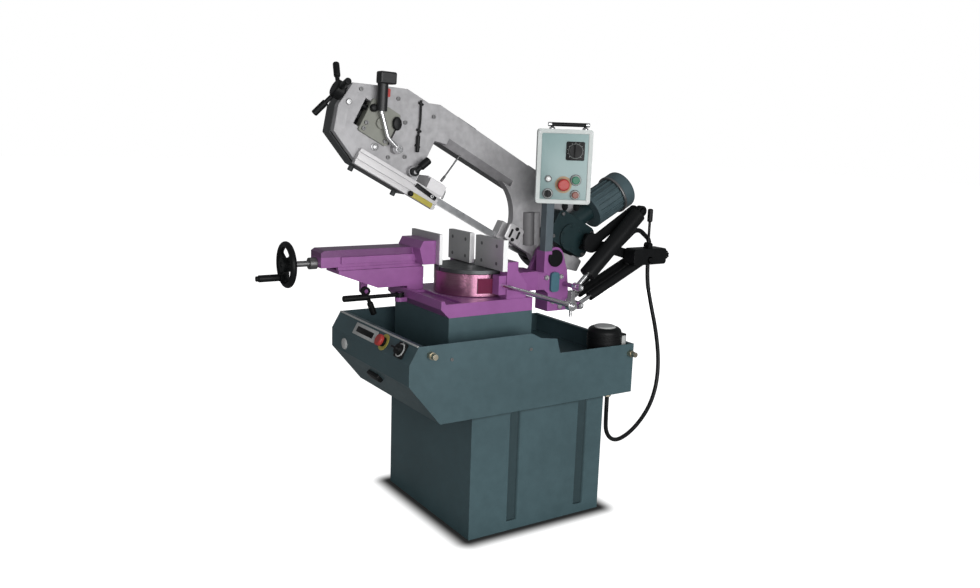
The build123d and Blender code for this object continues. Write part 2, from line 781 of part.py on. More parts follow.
def main_switch():
    """Rotary main switch on its plate."""
    knob = knob_with_wing(SWITCH_KNOB_R, SWITCH_KNOB_H, SWITCH_PLATE_H)
    return console_plane(MAIN_SWITCH_X).location * (Pos(0, 0, SWITCH_PLATE_H + SLIDING) * knob)


def riser():
    """Box pedestal between tray floor and bed."""
    side = (-RISER_HALF_WIDTH, RISER_HALF_WIDTH)
    length = (RISER_FRONT, RISER_REAR)
    height = (TRAY_FLOOR, BED_BOTTOM)
    inner_x = (side[0] + RISER_WALL, side[1] - RISER_WALL)
    inner_y = (length[0] + RISER_WALL, length[1] - RISER_WALL)
    return block(side, length, height) - block(inner_x, inner_y, height)


def bed():
    """Cast bed with a front lip, a drained trough and the turned spigot of the swivel."""
    profile = outline(
        (
            (RISER_FRONT, BED_BOTTOM),
            (BED_FRONT, BED_FRONT_LOW),
            (BED_FRONT, BED_TOP + BED_LIP),
            (BED_FRONT + BED_LIP, BED_TOP + BED_LIP),
            (BED_FRONT + BED_LIP + BED_LIP_DRAFT, BED_TOP),
            (RISER_REAR, BED_TOP),
            (RISER_REAR, BED_BOTTOM),
        )
    )
    casting = slab(profile, (-RISER_HALF_WIDTH, RISER_HALF_WIDTH))
    hollow_x = RISER_HALF_WIDTH - BED_WALL
    hollow_y = (RISER_FRONT + BED_WALL, RISER_REAR - BED_WALL)
    casting -= block((-hollow_x, hollow_x), hollow_y, (BED_BOTTOM, BED_TOP - BED_ROOF))
    trough_rear = SWIVEL_Y - DRUM_R - BED_LIP
    trough = block(
        (VISE_X + SUPPORT_HALF + BED_LIP, hollow_x),
        (BED_FRONT + 2 * BED_LIP, trough_rear),
        (BED_TOP - TROUGH_DEPTH, BED_TOP),
    )
    casting -= trough
    casting += Pos(0, SWIVEL_Y, BED_TOP) * stack((SPIGOT_R, SPIGOT_H))
    lug_x, lug_y = SWIVEL_LEVER_AT
    lug_low = BED_FRONT_LOW - LUG_DROP
    lug_top = SWIVEL_LEVER_Z - LEVER_HUB_H / 2 - SLIDING
    lug = block((lug_x - LEVER_HUB_R, lug_x + LEVER_HUB_R), (lug_y, BED_FRONT), (lug_low, lug_top))
    lug += Pos(lug_x, lug_y, lug_low) * stack((LEVER_HUB_R, lug_top - lug_low))
    lug += Pos(lug_x, lug_y, lug_top) * stack((LEVER_ROD_R, LEVER_HUB_H))
    return casting + lug


def jaw_wall_foot(rear):
    """Side view of a jaw wall: upright at the jaw, sloping down to its foot on the bed."""
    face_y = SWIVEL_Y + JAW_THICK
    back_y = face_y + WALL_THICK
    middle = (BED_TOP + JAW_BOTTOM) / 2
    return outline(
        (
            (face_y, BED_TOP),
            (face_y, WALL_TOP),
            (back_y, WALL_TOP),
            (back_y, JAW_BOTTOM),
            (rear, middle),
            (rear, BED_TOP),
        )
    )


def fixed_jaw_walls():
    """Castings that stand beside the turntable and carry the fixed jaws over it."""
    face_y = SWIVEL_Y + JAW_THICK
    back_y = face_y + WALL_THICK
    right = slab(jaw_wall_foot(WALL_FOOT_REAR), (WALL_FOOT_X, RIGHT_JAW[1]))
    right += block((RIGHT_JAW[0], WALL_FOOT_X), (face_y, back_y), (JAW_BOTTOM, WALL_TOP))
    lug_z = (STOP_Z - STOP_LUG_H / 2, STOP_Z + STOP_LUG_H / 2)
    right += block(STOP_LUG_X, (STOP_Y - 2 * STOP_ROD_R, face_y), lug_z)
    right -= shaft_hole(STOP_Y, STOP_Z, STOP_ROD_R, STOP_LUG_X)
    left = slab(jaw_wall_foot(LEFT_FOOT_REAR), (-RIGHT_JAW[1], -WALL_FOOT_X))
    plan = outline(
        (
            (-WALL_FOOT_X, face_y),
            (LEFT_WALL_END, face_y),
            (LEFT_WALL_END - WALL_THICK, back_y),
            (-WALL_FOOT_X, back_y),
        )
    )
    left += tower(plan, (JAW_BOTTOM, WALL_TOP))
    return right + left


def fixed_jaw_plates():
    """Two fixed jaw plates with the band's gap between them."""
    depth = (SWIVEL_Y, SWIVEL_Y + JAW_THICK)
    height = (JAW_BOTTOM, JAW_TOP)
    return block(LEFT_JAW, depth, height) + block(RIGHT_JAW, depth, height)


def stop_rod():
    """Round rod that carries the bar stop."""
    rod = bar_x(STOP_Y, STOP_Z, STOP_ROD_R, STOP_ROD_X)
    return chamfer(rod.edges().filter_by(GeomType.CIRCLE), STOP_ROD_CHAMFER)


def stop_head():
    """Split collar with a stop finger and a clamp screw, sliding on the rod."""
    half = STOP_HEAD_W / 2
    place = (STOP_HEAD_X - half, STOP_HEAD_X + half)
    head = bar_x(STOP_Y, STOP_Z, 2 * STOP_ROD_R, place)
    finger_y = (STOP_Y - STOP_FINGER_W / 2, STOP_Y + STOP_FINGER_W / 2)
    head += block(place, finger_y, (STOP_Z + STOP_ROD_R, STOP_Z + STOP_FINGER_H))
    screw_z = (STOP_Z - STOP_SCREW_DROP, STOP_Z - STOP_ROD_R - STOP_SCREW_ROOT)
    head += bar((STOP_HEAD_X, STOP_Y, screw_z[0]), (STOP_HEAD_X, STOP_Y, screw_z[1]), STOP_SCREW_R)
    return head - shaft_hole(STOP_Y, STOP_Z, STOP_ROD_R, place)


def vise_support():
    """Casting bolted to the bed, with two ways that the vise slide runs on and the nut of its screw."""
    side = (VISE_X - SUPPORT_HALF, VISE_X + SUPPORT_HALF)
    profile = outline(
        (
            (SUPPORT_REAR, BED_TOP),
            (SUPPORT_REAR, SUPPORT_TOP),
            (SUPPORT_NOSE, SUPPORT_TOP),
            (SUPPORT_NOSE, SUPPORT_TOP - SUPPORT_LIP),
            (SUPPORT_KNEE, SUPPORT_BOTTOM),
            (BED_FRONT + 2 * BED_LIP, SUPPORT_BOTTOM),
            (BED_FRONT + 2 * BED_LIP, BED_TOP),
        )
    )
    casting = slab(profile, side)
    for edge in (-SLIDE_HALF, SLIDE_HALF - SLIDE_WALL):
        way_x = (VISE_X + edge, VISE_X + edge + SLIDE_WALL)
        casting += block(way_x, (SUPPORT_NOSE, SUPPORT_REAR), (SUPPORT_TOP, SUPPORT_TOP + WAY_HEIGHT))
    nut_y = (NUT_MIDDLE - NUT_LENGTH / 2, NUT_MIDDLE + NUT_LENGTH / 2)
    casting += block((VISE_X - NUT_HALF, VISE_X + NUT_HALF), nut_y, (SUPPORT_TOP, VISE_AXIS_Z + NUT_HALF))
    casting -= bar_y(VISE_X, VISE_AXIS_Z, SCREW_R + RUNNING, nut_y)
    lug_y, lug_z = VISE_LEVER_AT
    lug_x = (VISE_X - LEVER_HUB_H - VISE_LUG_R, VISE_X - LEVER_HUB_H / 2 - SLIDING)
    lug_root = (lug_z, SUPPORT_BOTTOM + VISE_LUG_ROOT)
    casting += block(lug_x, (lug_y - VISE_LUG_R, lug_y + VISE_LUG_R), lug_root)
    casting += bar_x(lug_y, lug_z, VISE_LUG_R, lug_x)
    casting += bar_x(lug_y, lug_z, LEVER_ROD_R, (lug_x[1], VISE_X + LEVER_HUB_H / 2))
    return casting


def vise_slide():
    """Channel-shaped slide with side ledges and the head that carries the moving jaw."""
    rear = SWIVEL_Y - JAW_OPENING - MOVING_JAW_THICK
    head_front = rear - HEAD_LENGTH
    low = SUPPORT_TOP + WAY_HEIGHT + SLIDING
    side = (VISE_X - SLIDE_HALF, VISE_X + SLIDE_HALF)
    inner = (side[0] + SLIDE_WALL, side[1] - SLIDE_WALL)
    body = slab(
        outline(
            (
                (SLIDE_FRONT, low),
                (SLIDE_FRONT, SLIDE_TOP - SLIDE_BEVEL[1]),
                (SLIDE_FRONT + SLIDE_BEVEL[0], SLIDE_TOP),
                (head_front, SLIDE_TOP),
                (head_front, low),
            )
        ),
        side,
    )
    ledge = (SLIDE_FRONT + SLIDE_LEDGE_START, head_front)
    body += block((side[0] - SLIDE_LEDGE, side[1] + SLIDE_LEDGE), ledge, SLIDE_LEDGE_Z)
    head = slab(
        outline(
            (
                (head_front - HEAD_SLOPE, SLIDE_TOP),
                (head_front, HEAD_TOP),
                (rear, HEAD_TOP),
                (rear, JAW_BOTTOM),
                (head_front, JAW_BOTTOM),
            )
        ),
        HEAD_X,
    )
    hollow = block(inner, (SLIDE_FRONT + SLIDE_END_WALL, head_front), (low, SLIDE_TOP - SLIDE_ROOF))
    axis_end = (VISE_X, SLIDE_FRONT + SLIDE_END_WALL, VISE_AXIS_Z)
    bore = bar((VISE_X, SLIDE_FRONT, VISE_AXIS_Z), axis_end, SCREW_R + RUNNING)
    return body + head - hollow - bore


def moving_jaw_plate():
    """Steel plate on the slide's head."""
    rear = SWIVEL_Y - JAW_OPENING
    return block(MOVING_JAW, (rear - MOVING_JAW_THICK, rear), (JAW_BOTTOM, JAW_TOP))


def vise_screw():
    """Vise screw with the collar that bears on the slide's end."""
    tip = SWIVEL_Y - JAW_OPENING - MOVING_JAW_THICK - HEAD_LENGTH - SCREW_TIP_GAP
    screw = bar_y(VISE_X, VISE_AXIS_Z, SCREW_R, (HANDWHEEL_Y - SCREW_OVERHANG, tip))
    collar_y = (SLIDE_FRONT - COLLAR_LENGTH, SLIDE_FRONT - SLIDING)
    collar = bar_y(VISE_X, VISE_AXIS_Z, COLLAR_R, collar_y)
    seat = SLIDE_FRONT + SLIDE_END_WALL
    keeper_y = (seat + SLIDING, seat + KEEPER_LENGTH)
    keeper = bar_y(VISE_X, VISE_AXIS_Z, SCREW_R + KEEPER_LIP, keeper_y)
    return screw + collar + keeper


def handwheel():
    """Dished handwheel: rim, three spokes, hub on the screw and the crank's pin."""
    rim = Torus(HANDWHEEL_R - HANDWHEEL_RIM, HANDWHEEL_RIM)
    wheel = rim + Cylinder(HANDWHEEL_HUB_R, HANDWHEEL_HUB_H)
    for turn in HANDWHEEL_SPOKES:
        size = (HANDWHEEL_R - HANDWHEEL_RIM, SPOKE_WIDTH, SPOKE_THICK)
        spoke = Box(*size, align=(Align.MIN, Align.CENTER, Align.CENTER))
        wheel += Rot(0, 0, turn) * spoke
    wheel -= Cylinder(SCREW_R + RUNNING, HANDWHEEL_HUB_H)
    pad_x, pad_z = CRANK_OFFSET
    pad = bar((pad_x, pad_z, -CRANK_PAD_BACK), (pad_x, pad_z, HANDWHEEL_RIM), CRANK_PAD_R)
    pin_end = HANDWHEEL_RIM + GRIP_LENGTH + HEAD_CLEAR + CRANK_HEAD_H
    pin = bar((pad_x, pad_z, HANDWHEEL_RIM), (pad_x, pad_z, pin_end), CRANK_PIN_R)
    head_r = CRANK_PIN_R + CRANK_HEAD_LIP
    pin += bar((pad_x, pad_z, pin_end - CRANK_HEAD_H), (pad_x, pad_z, pin_end), head_r)
    wheel += pad + pin
    return Location((VISE_X, HANDWHEEL_Y, VISE_AXIS_Z), (90, 0, 0)) * wheel


def crank_grip():
    """Barrel grip that turns on the crank's pin."""
    x = VISE_X + CRANK_OFFSET[0]
    z = VISE_AXIS_Z + CRANK_OFFSET[1]
    front = HANDWHEEL_Y - HANDWHEEL_RIM - SLIDING
    grip = bar_y(x, z, GRIP_R, (front, front - GRIP_LENGTH))
    grip = chamfer(grip.edges().filter_by(GeomType.CIRCLE), GRIP_CHAMFER)
    return grip - bar_y(x, z, CRANK_PIN_R + RUNNING, (front, front - GRIP_LENGTH))


def lever(start, end, hub_plane, grip_length):
    """Round lever with a thicker grip, on a hub that turns on its pin."""
    axis = (Vector(*end) - Vector(*start)).normalized()
    grip_start = Vector(*end) - axis * grip_length
    arm = bar(start, tuple(grip_start), LEVER_ROD_R)
    grip = bar(tuple(grip_start), end, LEVER_GRIP_R)
    grip = fillet(grip.edges().filter_by(GeomType.CIRCLE), GRIP_ROUND)
    hub = hub_plane.location * Cylinder(LEVER_HUB_R, LEVER_HUB_H)
    hole = hub_plane.location * Cylinder(LEVER_ROD_R + RUNNING, LEVER_HUB_H)
    return arm + grip + hub - hole


def swivel_lever():
    """Lever that clamps the swivel, ahead of the bed."""
    start = (*SWIVEL_LEVER_AT, SWIVEL_LEVER_Z)
    end = (SWIVEL_LEVER_AT[0], SWIVEL_LEVER_END, SWIVEL_LEVER_Z)
    return lever(start, end, Plane(origin=start, z_dir=(0, 0, 1)), LEVER_GRIP)


def vise_lever():
    """Lever that locks the vise slide, under its support."""
    start = (VISE_X, *VISE_LEVER_AT)
    end = (VISE_X, *VISE_LEVER_TIP)
    return lever(start, end, Plane(origin=start, z_dir=(1, 0, 0)), VISE_LEVER_GRIP)


def swivel_arm():
    """Turntable drum on the bed's spigot, with the arm that reaches back to the hinge."""
    drum = Pos(0, SWIVEL_Y, BED_TOP + SLIDING) * stack((DRUM_R, DRUM_TOP - BED_TOP - SLIDING))
    drum = chamfer(drum.edges().filter_by(GeomType.CIRCLE), DRUM_EDGE)
    plan = outline(
        (
            (ARM_LEFT, SWIVEL_Y + ARM_ROOT),
            (ARM_LEFT, RISER_REAR),
            (EAR_INNER_X - ARM_WAIST, ARM_END),
            (ARM_RIGHT, ARM_END),
            (ARM_RIGHT, SWIVEL_Y + ARM_ROOT),
        )
    )
    arm = drum + tower(plan, (ARM_BOTTOM, ARM_TOP))
    out = math.radians(POINTER_TURN)
    pad_r = POINTER_R - POINTER_DEPTH / 2
    pad = Box(POINTER_DEPTH, POINTER_SIZE, POINTER_SIZE)
    pad_place = Pos(pad_r * math.cos(out), SWIVEL_Y + pad_r * math.sin(out), (BED_TOP + DRUM_TOP) / 2)
    arm += pad_place * (Rot(0, 0, POINTER_TURN) * pad)
    hole = Pos(0, SWIVEL_Y, BED_TOP) * stack((SPIGOT_R + RUNNING, SPIGOT_H + HEAD_CLEAR))
    return arm - hole


def table_disc():
    """Turntable plate that the work lies on, in two halves with the band's kerf between them."""
    disc = Pos(0, SWIVEL_Y, DRUM_TOP) * stack((DRUM_R, TABLE_TOP - DRUM_TOP))
    kerf_y = (SWIVEL_Y - DRUM_R, SWIVEL_Y + DRUM_R)
    return disc - block((-KERF_WIDTH / 2, KERF_WIDTH / 2), kerf_y, (DRUM_TOP, TABLE_TOP))


def hinge_bracket():
    """Fork bolted to the arm: two ears for the hinge pin, a foot and two anchor pins."""
    foot_y = BRACKET_REAR - BRACKET_FOOT_LENGTH
    lower = (
        (BRACKET_REAR, BRACKET_FOOT + BRACKET_HEEL),
        (BRACKET_REAR, BRACKET_FOOT),
        (foot_y, BRACKET_FOOT),
        (foot_y, ARM_BOTTOM - BRACKET_KNEE[1]),
        (foot_y - BRACKET_KNEE[0], ARM_BOTTOM),
        (ARM_END, ARM_BOTTOM),
    )
    ear_face = outline(
        (
            *lower,
            (ARM_END, ARM_TOP - EAR_RISE),
            (HINGE_Y - EAR_R, HINGE_Z + EAR_RISE),
            (HINGE_Y - EAR_TOP[0], HINGE_Z + EAR_TOP[1]),
            (HINGE_Y + EAR_TOP[0], HINGE_Z + EAR_TOP[1]),
            (HINGE_Y + EAR_R, HINGE_Z + EAR_RISE),
            (BRACKET_REAR - BRACKET_LEAN, ARM_TOP - EAR_RISE),
        )
    )
    ear_face += Pos(HINGE_Y, HINGE_Z) * Circle(EAR_R)
    web_face = outline((*lower, (ARM_END, BRACKET_WEB_TOP), (BRACKET_REAR - WEB_LEAN, BRACKET_WEB_TOP)))
    inner = (EAR_INNER_X, EAR_INNER_X + EAR_THICK)
    outer = (EAR_OUTER_X, EAR_OUTER_X + EAR_THICK)
    part = slab(ear_face, inner) + slab(ear_face, outer) + slab(web_face, (inner[1], outer[0]))
    part -= shaft_hole(HINGE_Y, HINGE_Z, HINGE_PIN_R, (inner[0], outer[1]))
    reach = SPRING_X + STRUT_EYE_W / 2 + SLIDING
    for place in (SPRING_FOOT, FEED_FOOT):
        part += bar_x(*place, STRUT_PIN_R, (outer[1], reach))
        part += bar_x(*place, STRUT_PIN_R + PIN_COLLAR_LIP, (reach, reach + PIN_COLLAR_H))
    return part + post_seat(outer)


def post_seat(ear):
    """Cheek on the outer ear with a shelf and a front web that the control post stands on."""
    low = ARM_TOP
    shelf_x = (ear[1], POST_X[1])
    seat = block(ear, (POST_Y[0], SEAT_REAR), (low, POST_BOTTOM))
    seat += block(shelf_x, POST_Y, (POST_BOTTOM - SEAT_PLATE, POST_BOTTOM))
    return seat + block(shelf_x, (POST_Y[0], POST_Y[0] + SEAT_PLATE), (low, POST_BOTTOM))


def hinge_pin():
    """Hinge pin with its end cap."""
    outer_end = EAR_OUTER_X + EAR_THICK
    pin = bar_x(HINGE_Y, HINGE_Z, HINGE_PIN_R, (EAR_INNER_X, outer_end))
    cap = bar_x(HINGE_Y, HINGE_Z, HINGE_CAP_R, (outer_end, outer_end + HINGE_CAP_H))
    return pin + chamfer(cap.edges().filter_by(GeomType.CIRCLE).sort_by(Axis.X)[-1], HINGE_CAP_EDGE)


def limit_switch():
    """Limit switch on the outer ear, below the pin."""
    case_y = (HINGE_Y + SWITCH_CASE_Y[0], HINGE_Y + SWITCH_CASE_Y[1])
    case_z = (HINGE_Z + SWITCH_CASE_Z[0], HINGE_Z + SWITCH_CASE_Z[1])
    face = rectangle(case_y, case_z, SWITCH_CASE_CORNER)
    outer_end = EAR_OUTER_X + EAR_THICK
    return slab(face, (outer_end, outer_end + SWITCH_CASE_X))


def control_post():
    """Square tube that carries the control box."""
    post = block(POST_X, POST_Y, (POST_BOTTOM, BOX_BOTTOM))
    inner_x = (POST_X[0] + POST_WALL, POST_X[1] - POST_WALL)
    inner_y = (POST_Y[0] + POST_WALL, POST_Y[1] - POST_WALL)
    return post - block(inner_x, inner_y, (POST_BOTTOM, BOX_BOTTOM - POST_WALL))


def control_box():
    """Control box with a recessed panel and button collars."""
    half = BOX_WIDTH / 2
    body = block((-BOX_DEPTH, 0), (-half, half), (0, BOX_HEIGHT))
    body = fillet(body.edges().filter_by(Axis.X), BOX_CORNER)
    inner = half - BOX_FRAME
    body -= block((-BOX_RECESS, 0), (-inner, inner), (BOX_FRAME, BOX_HEIGHT - BOX_FRAME))
    for place, radius in BOX_COLLARS:
        body += bar_x(*place, radius, (-BOX_RECESS, BUTTON_COLLAR_H))
        body -= shaft_hole(*place, STEM_R, (-BOX_RECESS - BUTTON_TRAVEL - STEM_HOLE_SPARE, BUTTON_COLLAR_H))
    return on_box(body)


def box_button(place, head_r, head_h):
    """Push button in one of the control box's collars."""
    foot = -BOX_RECESS - STEM_FOOT
    stem = BUTTON_COLLAR_H + BUTTON_TRAVEL + HEAD_CLEAR - foot
    button = mushroom(STEM_R, stem, head_r, head_h)
    return on_box(Location((foot, *place), (0, 90, 0)) * button)


def box_knob(place, radius, height, wing):
    """Turning knob in one of the control box's collars."""
    foot = -BOX_RECESS - STEM_FOOT
    stem = BUTTON_COLLAR_H + SLIDING - foot
    knob = stack((STEM_R, stem)) + Pos(0, 0, stem) * knob_with_wing(radius, height, wing)
    return on_box(Location((foot, *place), (0, 90, 0)) * knob)


def box_handle():
    """Bar handle over the control box."""
    start, end = BOX_HANDLE_SPAN
    height = BOX_HEIGHT + BOX_HANDLE_GAP
    depth = -BOX_DEPTH / 2
    grip = bar_y(depth, height, BOX_HANDLE_R, BOX_HANDLE_SPAN)
    grip = fillet(grip.edges().filter_by(GeomType.CIRCLE), BOX_HANDLE_ROUND)
    for y in (start + BOX_HANDLE_LEG_INSET, end - BOX_HANDLE_LEG_INSET):
        grip += bar((depth, y, BOX_HEIGHT), (depth, y, height), BOX_HANDLE_LEG_R)
    return on_box(grip)


def gooseneck():
    """Bent pipe behind the bracket that holds the conduit clear, with its gland."""
    points = [(GOOSENECK_X, y, z) for y, z in GOOSENECK_ROUTE]
    path = FilletPolyline(*points, radius=list(GOOSENECK_BENDS))
    pipe = sweep(Plane(origin=points[0], z_dir=(0, 1, 0)) * Circle(GOOSENECK_R), path=path)
    top = GOOSENECK_ROUTE[-1]
    nut = Plane(origin=(GOOSENECK_X, *top), z_dir=(0, 0, -1)) * RegularPolygon(GLAND_R, 6)
    return pipe + extrude(nut, GLAND_H)


def front_outline(bottom):
    """Bow outline round the idler wheel and along the beam to the rear wheel."""
    front = outline(
        (
            (FRONT_END, BEAM_BOTTOM + NOSE_SHOULDER),
            *((FRONT_END + along, BEAM_TOP + up) for along, up in NOSE_CROWN),
            (FRONT_HOUSE_END + HOUSE_STEP, BEAM_TOP + BEAM_CROWN),
            (FRONT_HOUSE_END + HOUSE_STEP, BEAM_BOTTOM),
            (FRONT_HOUSE_END, BEAM_BOTTOM - HOUSE_DROP),
            (FRONT_HOUSE_END, bottom),
            *((FRONT_END + along, bottom + up) for along, up in NOSE_CHIN),
        )
    )
    beam = outline(
        (
            (FRONT_HOUSE_END, BEAM_TOP + BEAM_CROWN),
            (DRIVE_Y - REAR_R / 2, BEAM_TOP),
            (DRIVE_Y + REAR_SHOULDER[0], WHEEL_Z + REAR_R + REAR_SHOULDER[1]),
            (DRIVE_Y, WHEEL_Z),
            (DRIVE_Y - REAR_R, BEAM_BOTTOM),
            (FRONT_HOUSE_END, BEAM_BOTTOM),
        )
    )
    return front + beam + Pos(DRIVE_Y, WHEEL_Z) * Circle(REAR_R)


def leg_outline():
    """Rear leg of the bow, curving out of the beam down to the rear guide."""
    start = (LEG_FRONT - LEG_SWEEP, BEAM_BOTTOM)
    shin = (LEG_FRONT + LEG_SHIN[0], LEG_SHIN[1])
    curve = ThreePointArc(start, (LEG_FRONT - LEG_BEND[0], BEAM_BOTTOM - LEG_BEND[1]), shin)
    rest = Polyline(
        shin,
        (LEG_FRONT + LEG_ANKLE, LEG_BOTTOM),
        (DRIVE_Y - LEG_HEEL, LEG_BOTTOM),
        (DRIVE_Y, WHEEL_Z),
        (DRIVE_Y, BEAM_BOTTOM + LEG_ROOT),
        (start[0], BEAM_BOTTOM + LEG_ROOT),
        start,
    )
    return make_face(curve + rest)


def bow_casting():
    """Cast bow: housing plate, beam, leg, slot for the tension block and hinge knuckle."""
    face = front_outline(FRONT_BOTTOM) + leg_outline()
    casting = slab(face, CASTING_X)
    outer_face = casting.faces().sort_by(Axis.X)[-1]
    chin_end = FRONT_END + NOSE_CHIN[0][0]
    middles = ((edge, edge.center()) for edge in outer_face.edges())
    chin = [edge for edge, middle in middles if middle.Y < chin_end and middle.Z < BEAM_BOTTOM]
    casting = chamfer(chin, *NOSE_BEVEL, reference=outer_face)
    beam_edge = outline(
        (
            (CASTING_X[1] - BEAM_CHAMFER[0], BEAM_BOTTOM),
            (CASTING_X[1], BEAM_BOTTOM + BEAM_CHAMFER[1]),
            (CASTING_X[1], BEAM_BOTTOM),
        )
    )
    beam_run = (FRONT_HOUSE_END + BEAM_CHAMFER_ENDS[0], LEG_FRONT - BEAM_CHAMFER_ENDS[1])
    casting -= extrude(Plane.XZ.offset(-beam_run[0]) * beam_edge, beam_run[0] - beam_run[1])
    slot_end = IDLER_Y + TENSION_BLOCK_LENGTH / 2 + TENSION_TRAVEL + TENSION_SLOT_SPARE
    slot_y = (IDLER_Y - TENSION_SLOT_START, slot_end)
    slot_z = (WHEEL_Z - TENSION_SLOT_HALF, WHEEL_Z + TENSION_SLOT_HALF)
    casting -= block(CASTING_X, slot_y, slot_z)
    screw_z = WHEEL_Z + TENSION_RISE
    casting -= bar_y(TENSION_SCREW_X, screw_z, TENSION_SCREW_R + RUNNING, (TENSION_HUB, slot_y[0]))
    casting -= bar_x(DRIVE_Y, WHEEL_Z, AXLE_R + AXLE_CLEAR, CASTING_X)
    tail = rectangle(KNUCKLE_TAIL, KNUCKLE_TAIL_Z, KNUCKLE_TAIL_CORNER)
    lap = KNUCKLE_TAIL[1] - KNUCKLE_LAP
    low, high = KNUCKLE_ROOT
    arm = outline(((0, low), (lap, KNUCKLE_TAIL_Z[0]), (lap, KNUCKLE_ARM_TOP), (0, high)))
    knuckle = slab(Circle(KNUCKLE_R) + arm + tail, KNUCKLE_X) + slab(tail, (CASTING_X[1], KNUCKLE_X[0]))
    boss_end = HANDLE_X - HANDLE_ROD_R - HANDLE_FOOT_LIP
    boss = bar_x(*HANDLE_ROUTE[0], HANDLE_BOSS_R, (CASTING_X[1], boss_end))
    lock_boss = bar_x(*LOCK_AT, LOCK_HUB_R + LOCK_BOSS_LIP, (CASTING_X[1], BAR_X[1])) + bar_x(
        *LOCK_AT, LEVER_ROD_R, (BAR_X[1], BAR_X[1] + LEVER_HUB_H)
    )
    casting += knuckle + boss + lock_boss
    for y in COVER_HINGES:
        casting += cover_knuckle((y - COVER_HINGE_LENGTH, y), CASTING_X[0], 1)
        pin_end = y + COVER_HINGE_LENGTH - COVER_HINGE_PIN_R
        casting += bar_y(COVER_X[1], COVER_HINGE_Z, COVER_HINGE_PIN_R, (y, pin_end))
    casting -= shaft_hole(0, 0, HINGE_PIN_R, (CASTING_X[1], KNUCKLE_X[1]))
    return on_bow(casting)


def cover_knuckle(span, root_x, side):
    """One knuckle of the cover's hinge, with the leaf that ties it to its own half."""
    leaf_x = sorted((root_x, COVER_X[1] + side * COVER_HINGE_R))
    leaf = block(leaf_x, span, (BEAM_TOP - COVER_LEAF_LAP, COVER_HINGE_Z))
    return leaf + bar_y(COVER_X[1], COVER_HINGE_Z, COVER_HINGE_R, span)


def wheel_cover():
    """Sheet cover over both wheels and the band's return, on the bow's left side."""
    face = front_outline(COVER_BOTTOM)
    inside = offset(face, amount=-COVER_SHEET)
    pan = slab(face, COVER_X) - slab(inside, (COVER_X[0] + COVER_SHEET, COVER_X[1]))
    way_x = (-GUIDE_HALF - BAND_WAY_SIDE, COVER_X[1])
    way_z = (BAND_AXIS + BAND_WAY[0], BAND_WAY[1])
    band_way = block(way_x, (FRONT_HOUSE_END - BAND_WAY_START, LEG_FRONT), way_z)
    guide_y = (REAR_GUIDE[0] - GUIDE_WAY[0], REAR_GUIDE[1] + GUIDE_WAY[1])
    guide_way = block(COVER_X, guide_y, (COVER_BOTTOM, REAR_GUIDE_TOP + GUIDE_WAY_TOP))
    low = (BAND_AXIS - REAR_WAY, BAND_AXIS + REAR_WAY)
    rear_way = block((-GUIDE_HALF, COVER_X[1]), (REAR_GUIDE[1], DRIVE_Y - REAR_WAY_END), low)
    pan -= band_way + guide_way + rear_way
    knob_x = COVER_X[0] + COVER_KNOB_X
    for y in COVER_KNOBS:
        pan += bar((knob_x, y, COVER_BOTTOM - COVER_KNOB_H), (knob_x, y, COVER_BOTTOM), COVER_KNOB_R)
    for y in COVER_HINGES:
        span = (y + SLIDING, y + COVER_HINGE_LENGTH)
        ends = ((COVER_X[1], span[0], COVER_HINGE_Z), (COVER_X[1], span[1], COVER_HINGE_Z))
        pan += cover_knuckle(span, COVER_X[1], -1)
        pan -= bar(*ends, COVER_HINGE_PIN_R + RUNNING)
    return on_bow(pan)


def band_wheel(shaft):
    """Band wheel: crowned rim, lightened web and hub."""
    half = WHEEL_WIDTH / 2
    rim = Cylinder(WHEEL_R, WHEEL_WIDTH) - Cylinder(WHEEL_R - WHEEL_RIM, WHEEL_WIDTH)
    web = Cylinder(WHEEL_R - WHEEL_RIM, WHEEL_WEB)
    for hole in range(WHEEL_HOLES):
        turn = Rot(0, 0, 360 * hole / WHEEL_HOLES)
        web -= turn * (Pos(WHEEL_HOLE_AT, 0, 0) * Cylinder(WHEEL_HOLE_R, WHEEL_WEB))
    hub = Cylinder(WHEEL_HUB_R, WHEEL_WIDTH)
    wheel = rim + web + hub
    if shaft:
        wheel += Pos(0, 0, half) * stack((AXLE_R, GEARBOX_X_END - half - SHAFT_COVER))
    else:
        wheel -= Cylinder(AXLE_R + RUNNING, WHEEL_WIDTH)
    return Rot(0, 90, 0) * wheel


def drive_wheel():
    """Rear wheel with the shaft that runs into the gearbox."""
    return on_bow(Pos(0, DRIVE_Y, WHEEL_Z) * band_wheel(True))


def idler_wheel():
    """Front wheel, on the tension block's axle."""
    return on_bow(Pos(0, IDLER_Y, WHEEL_Z) * band_wheel(False))


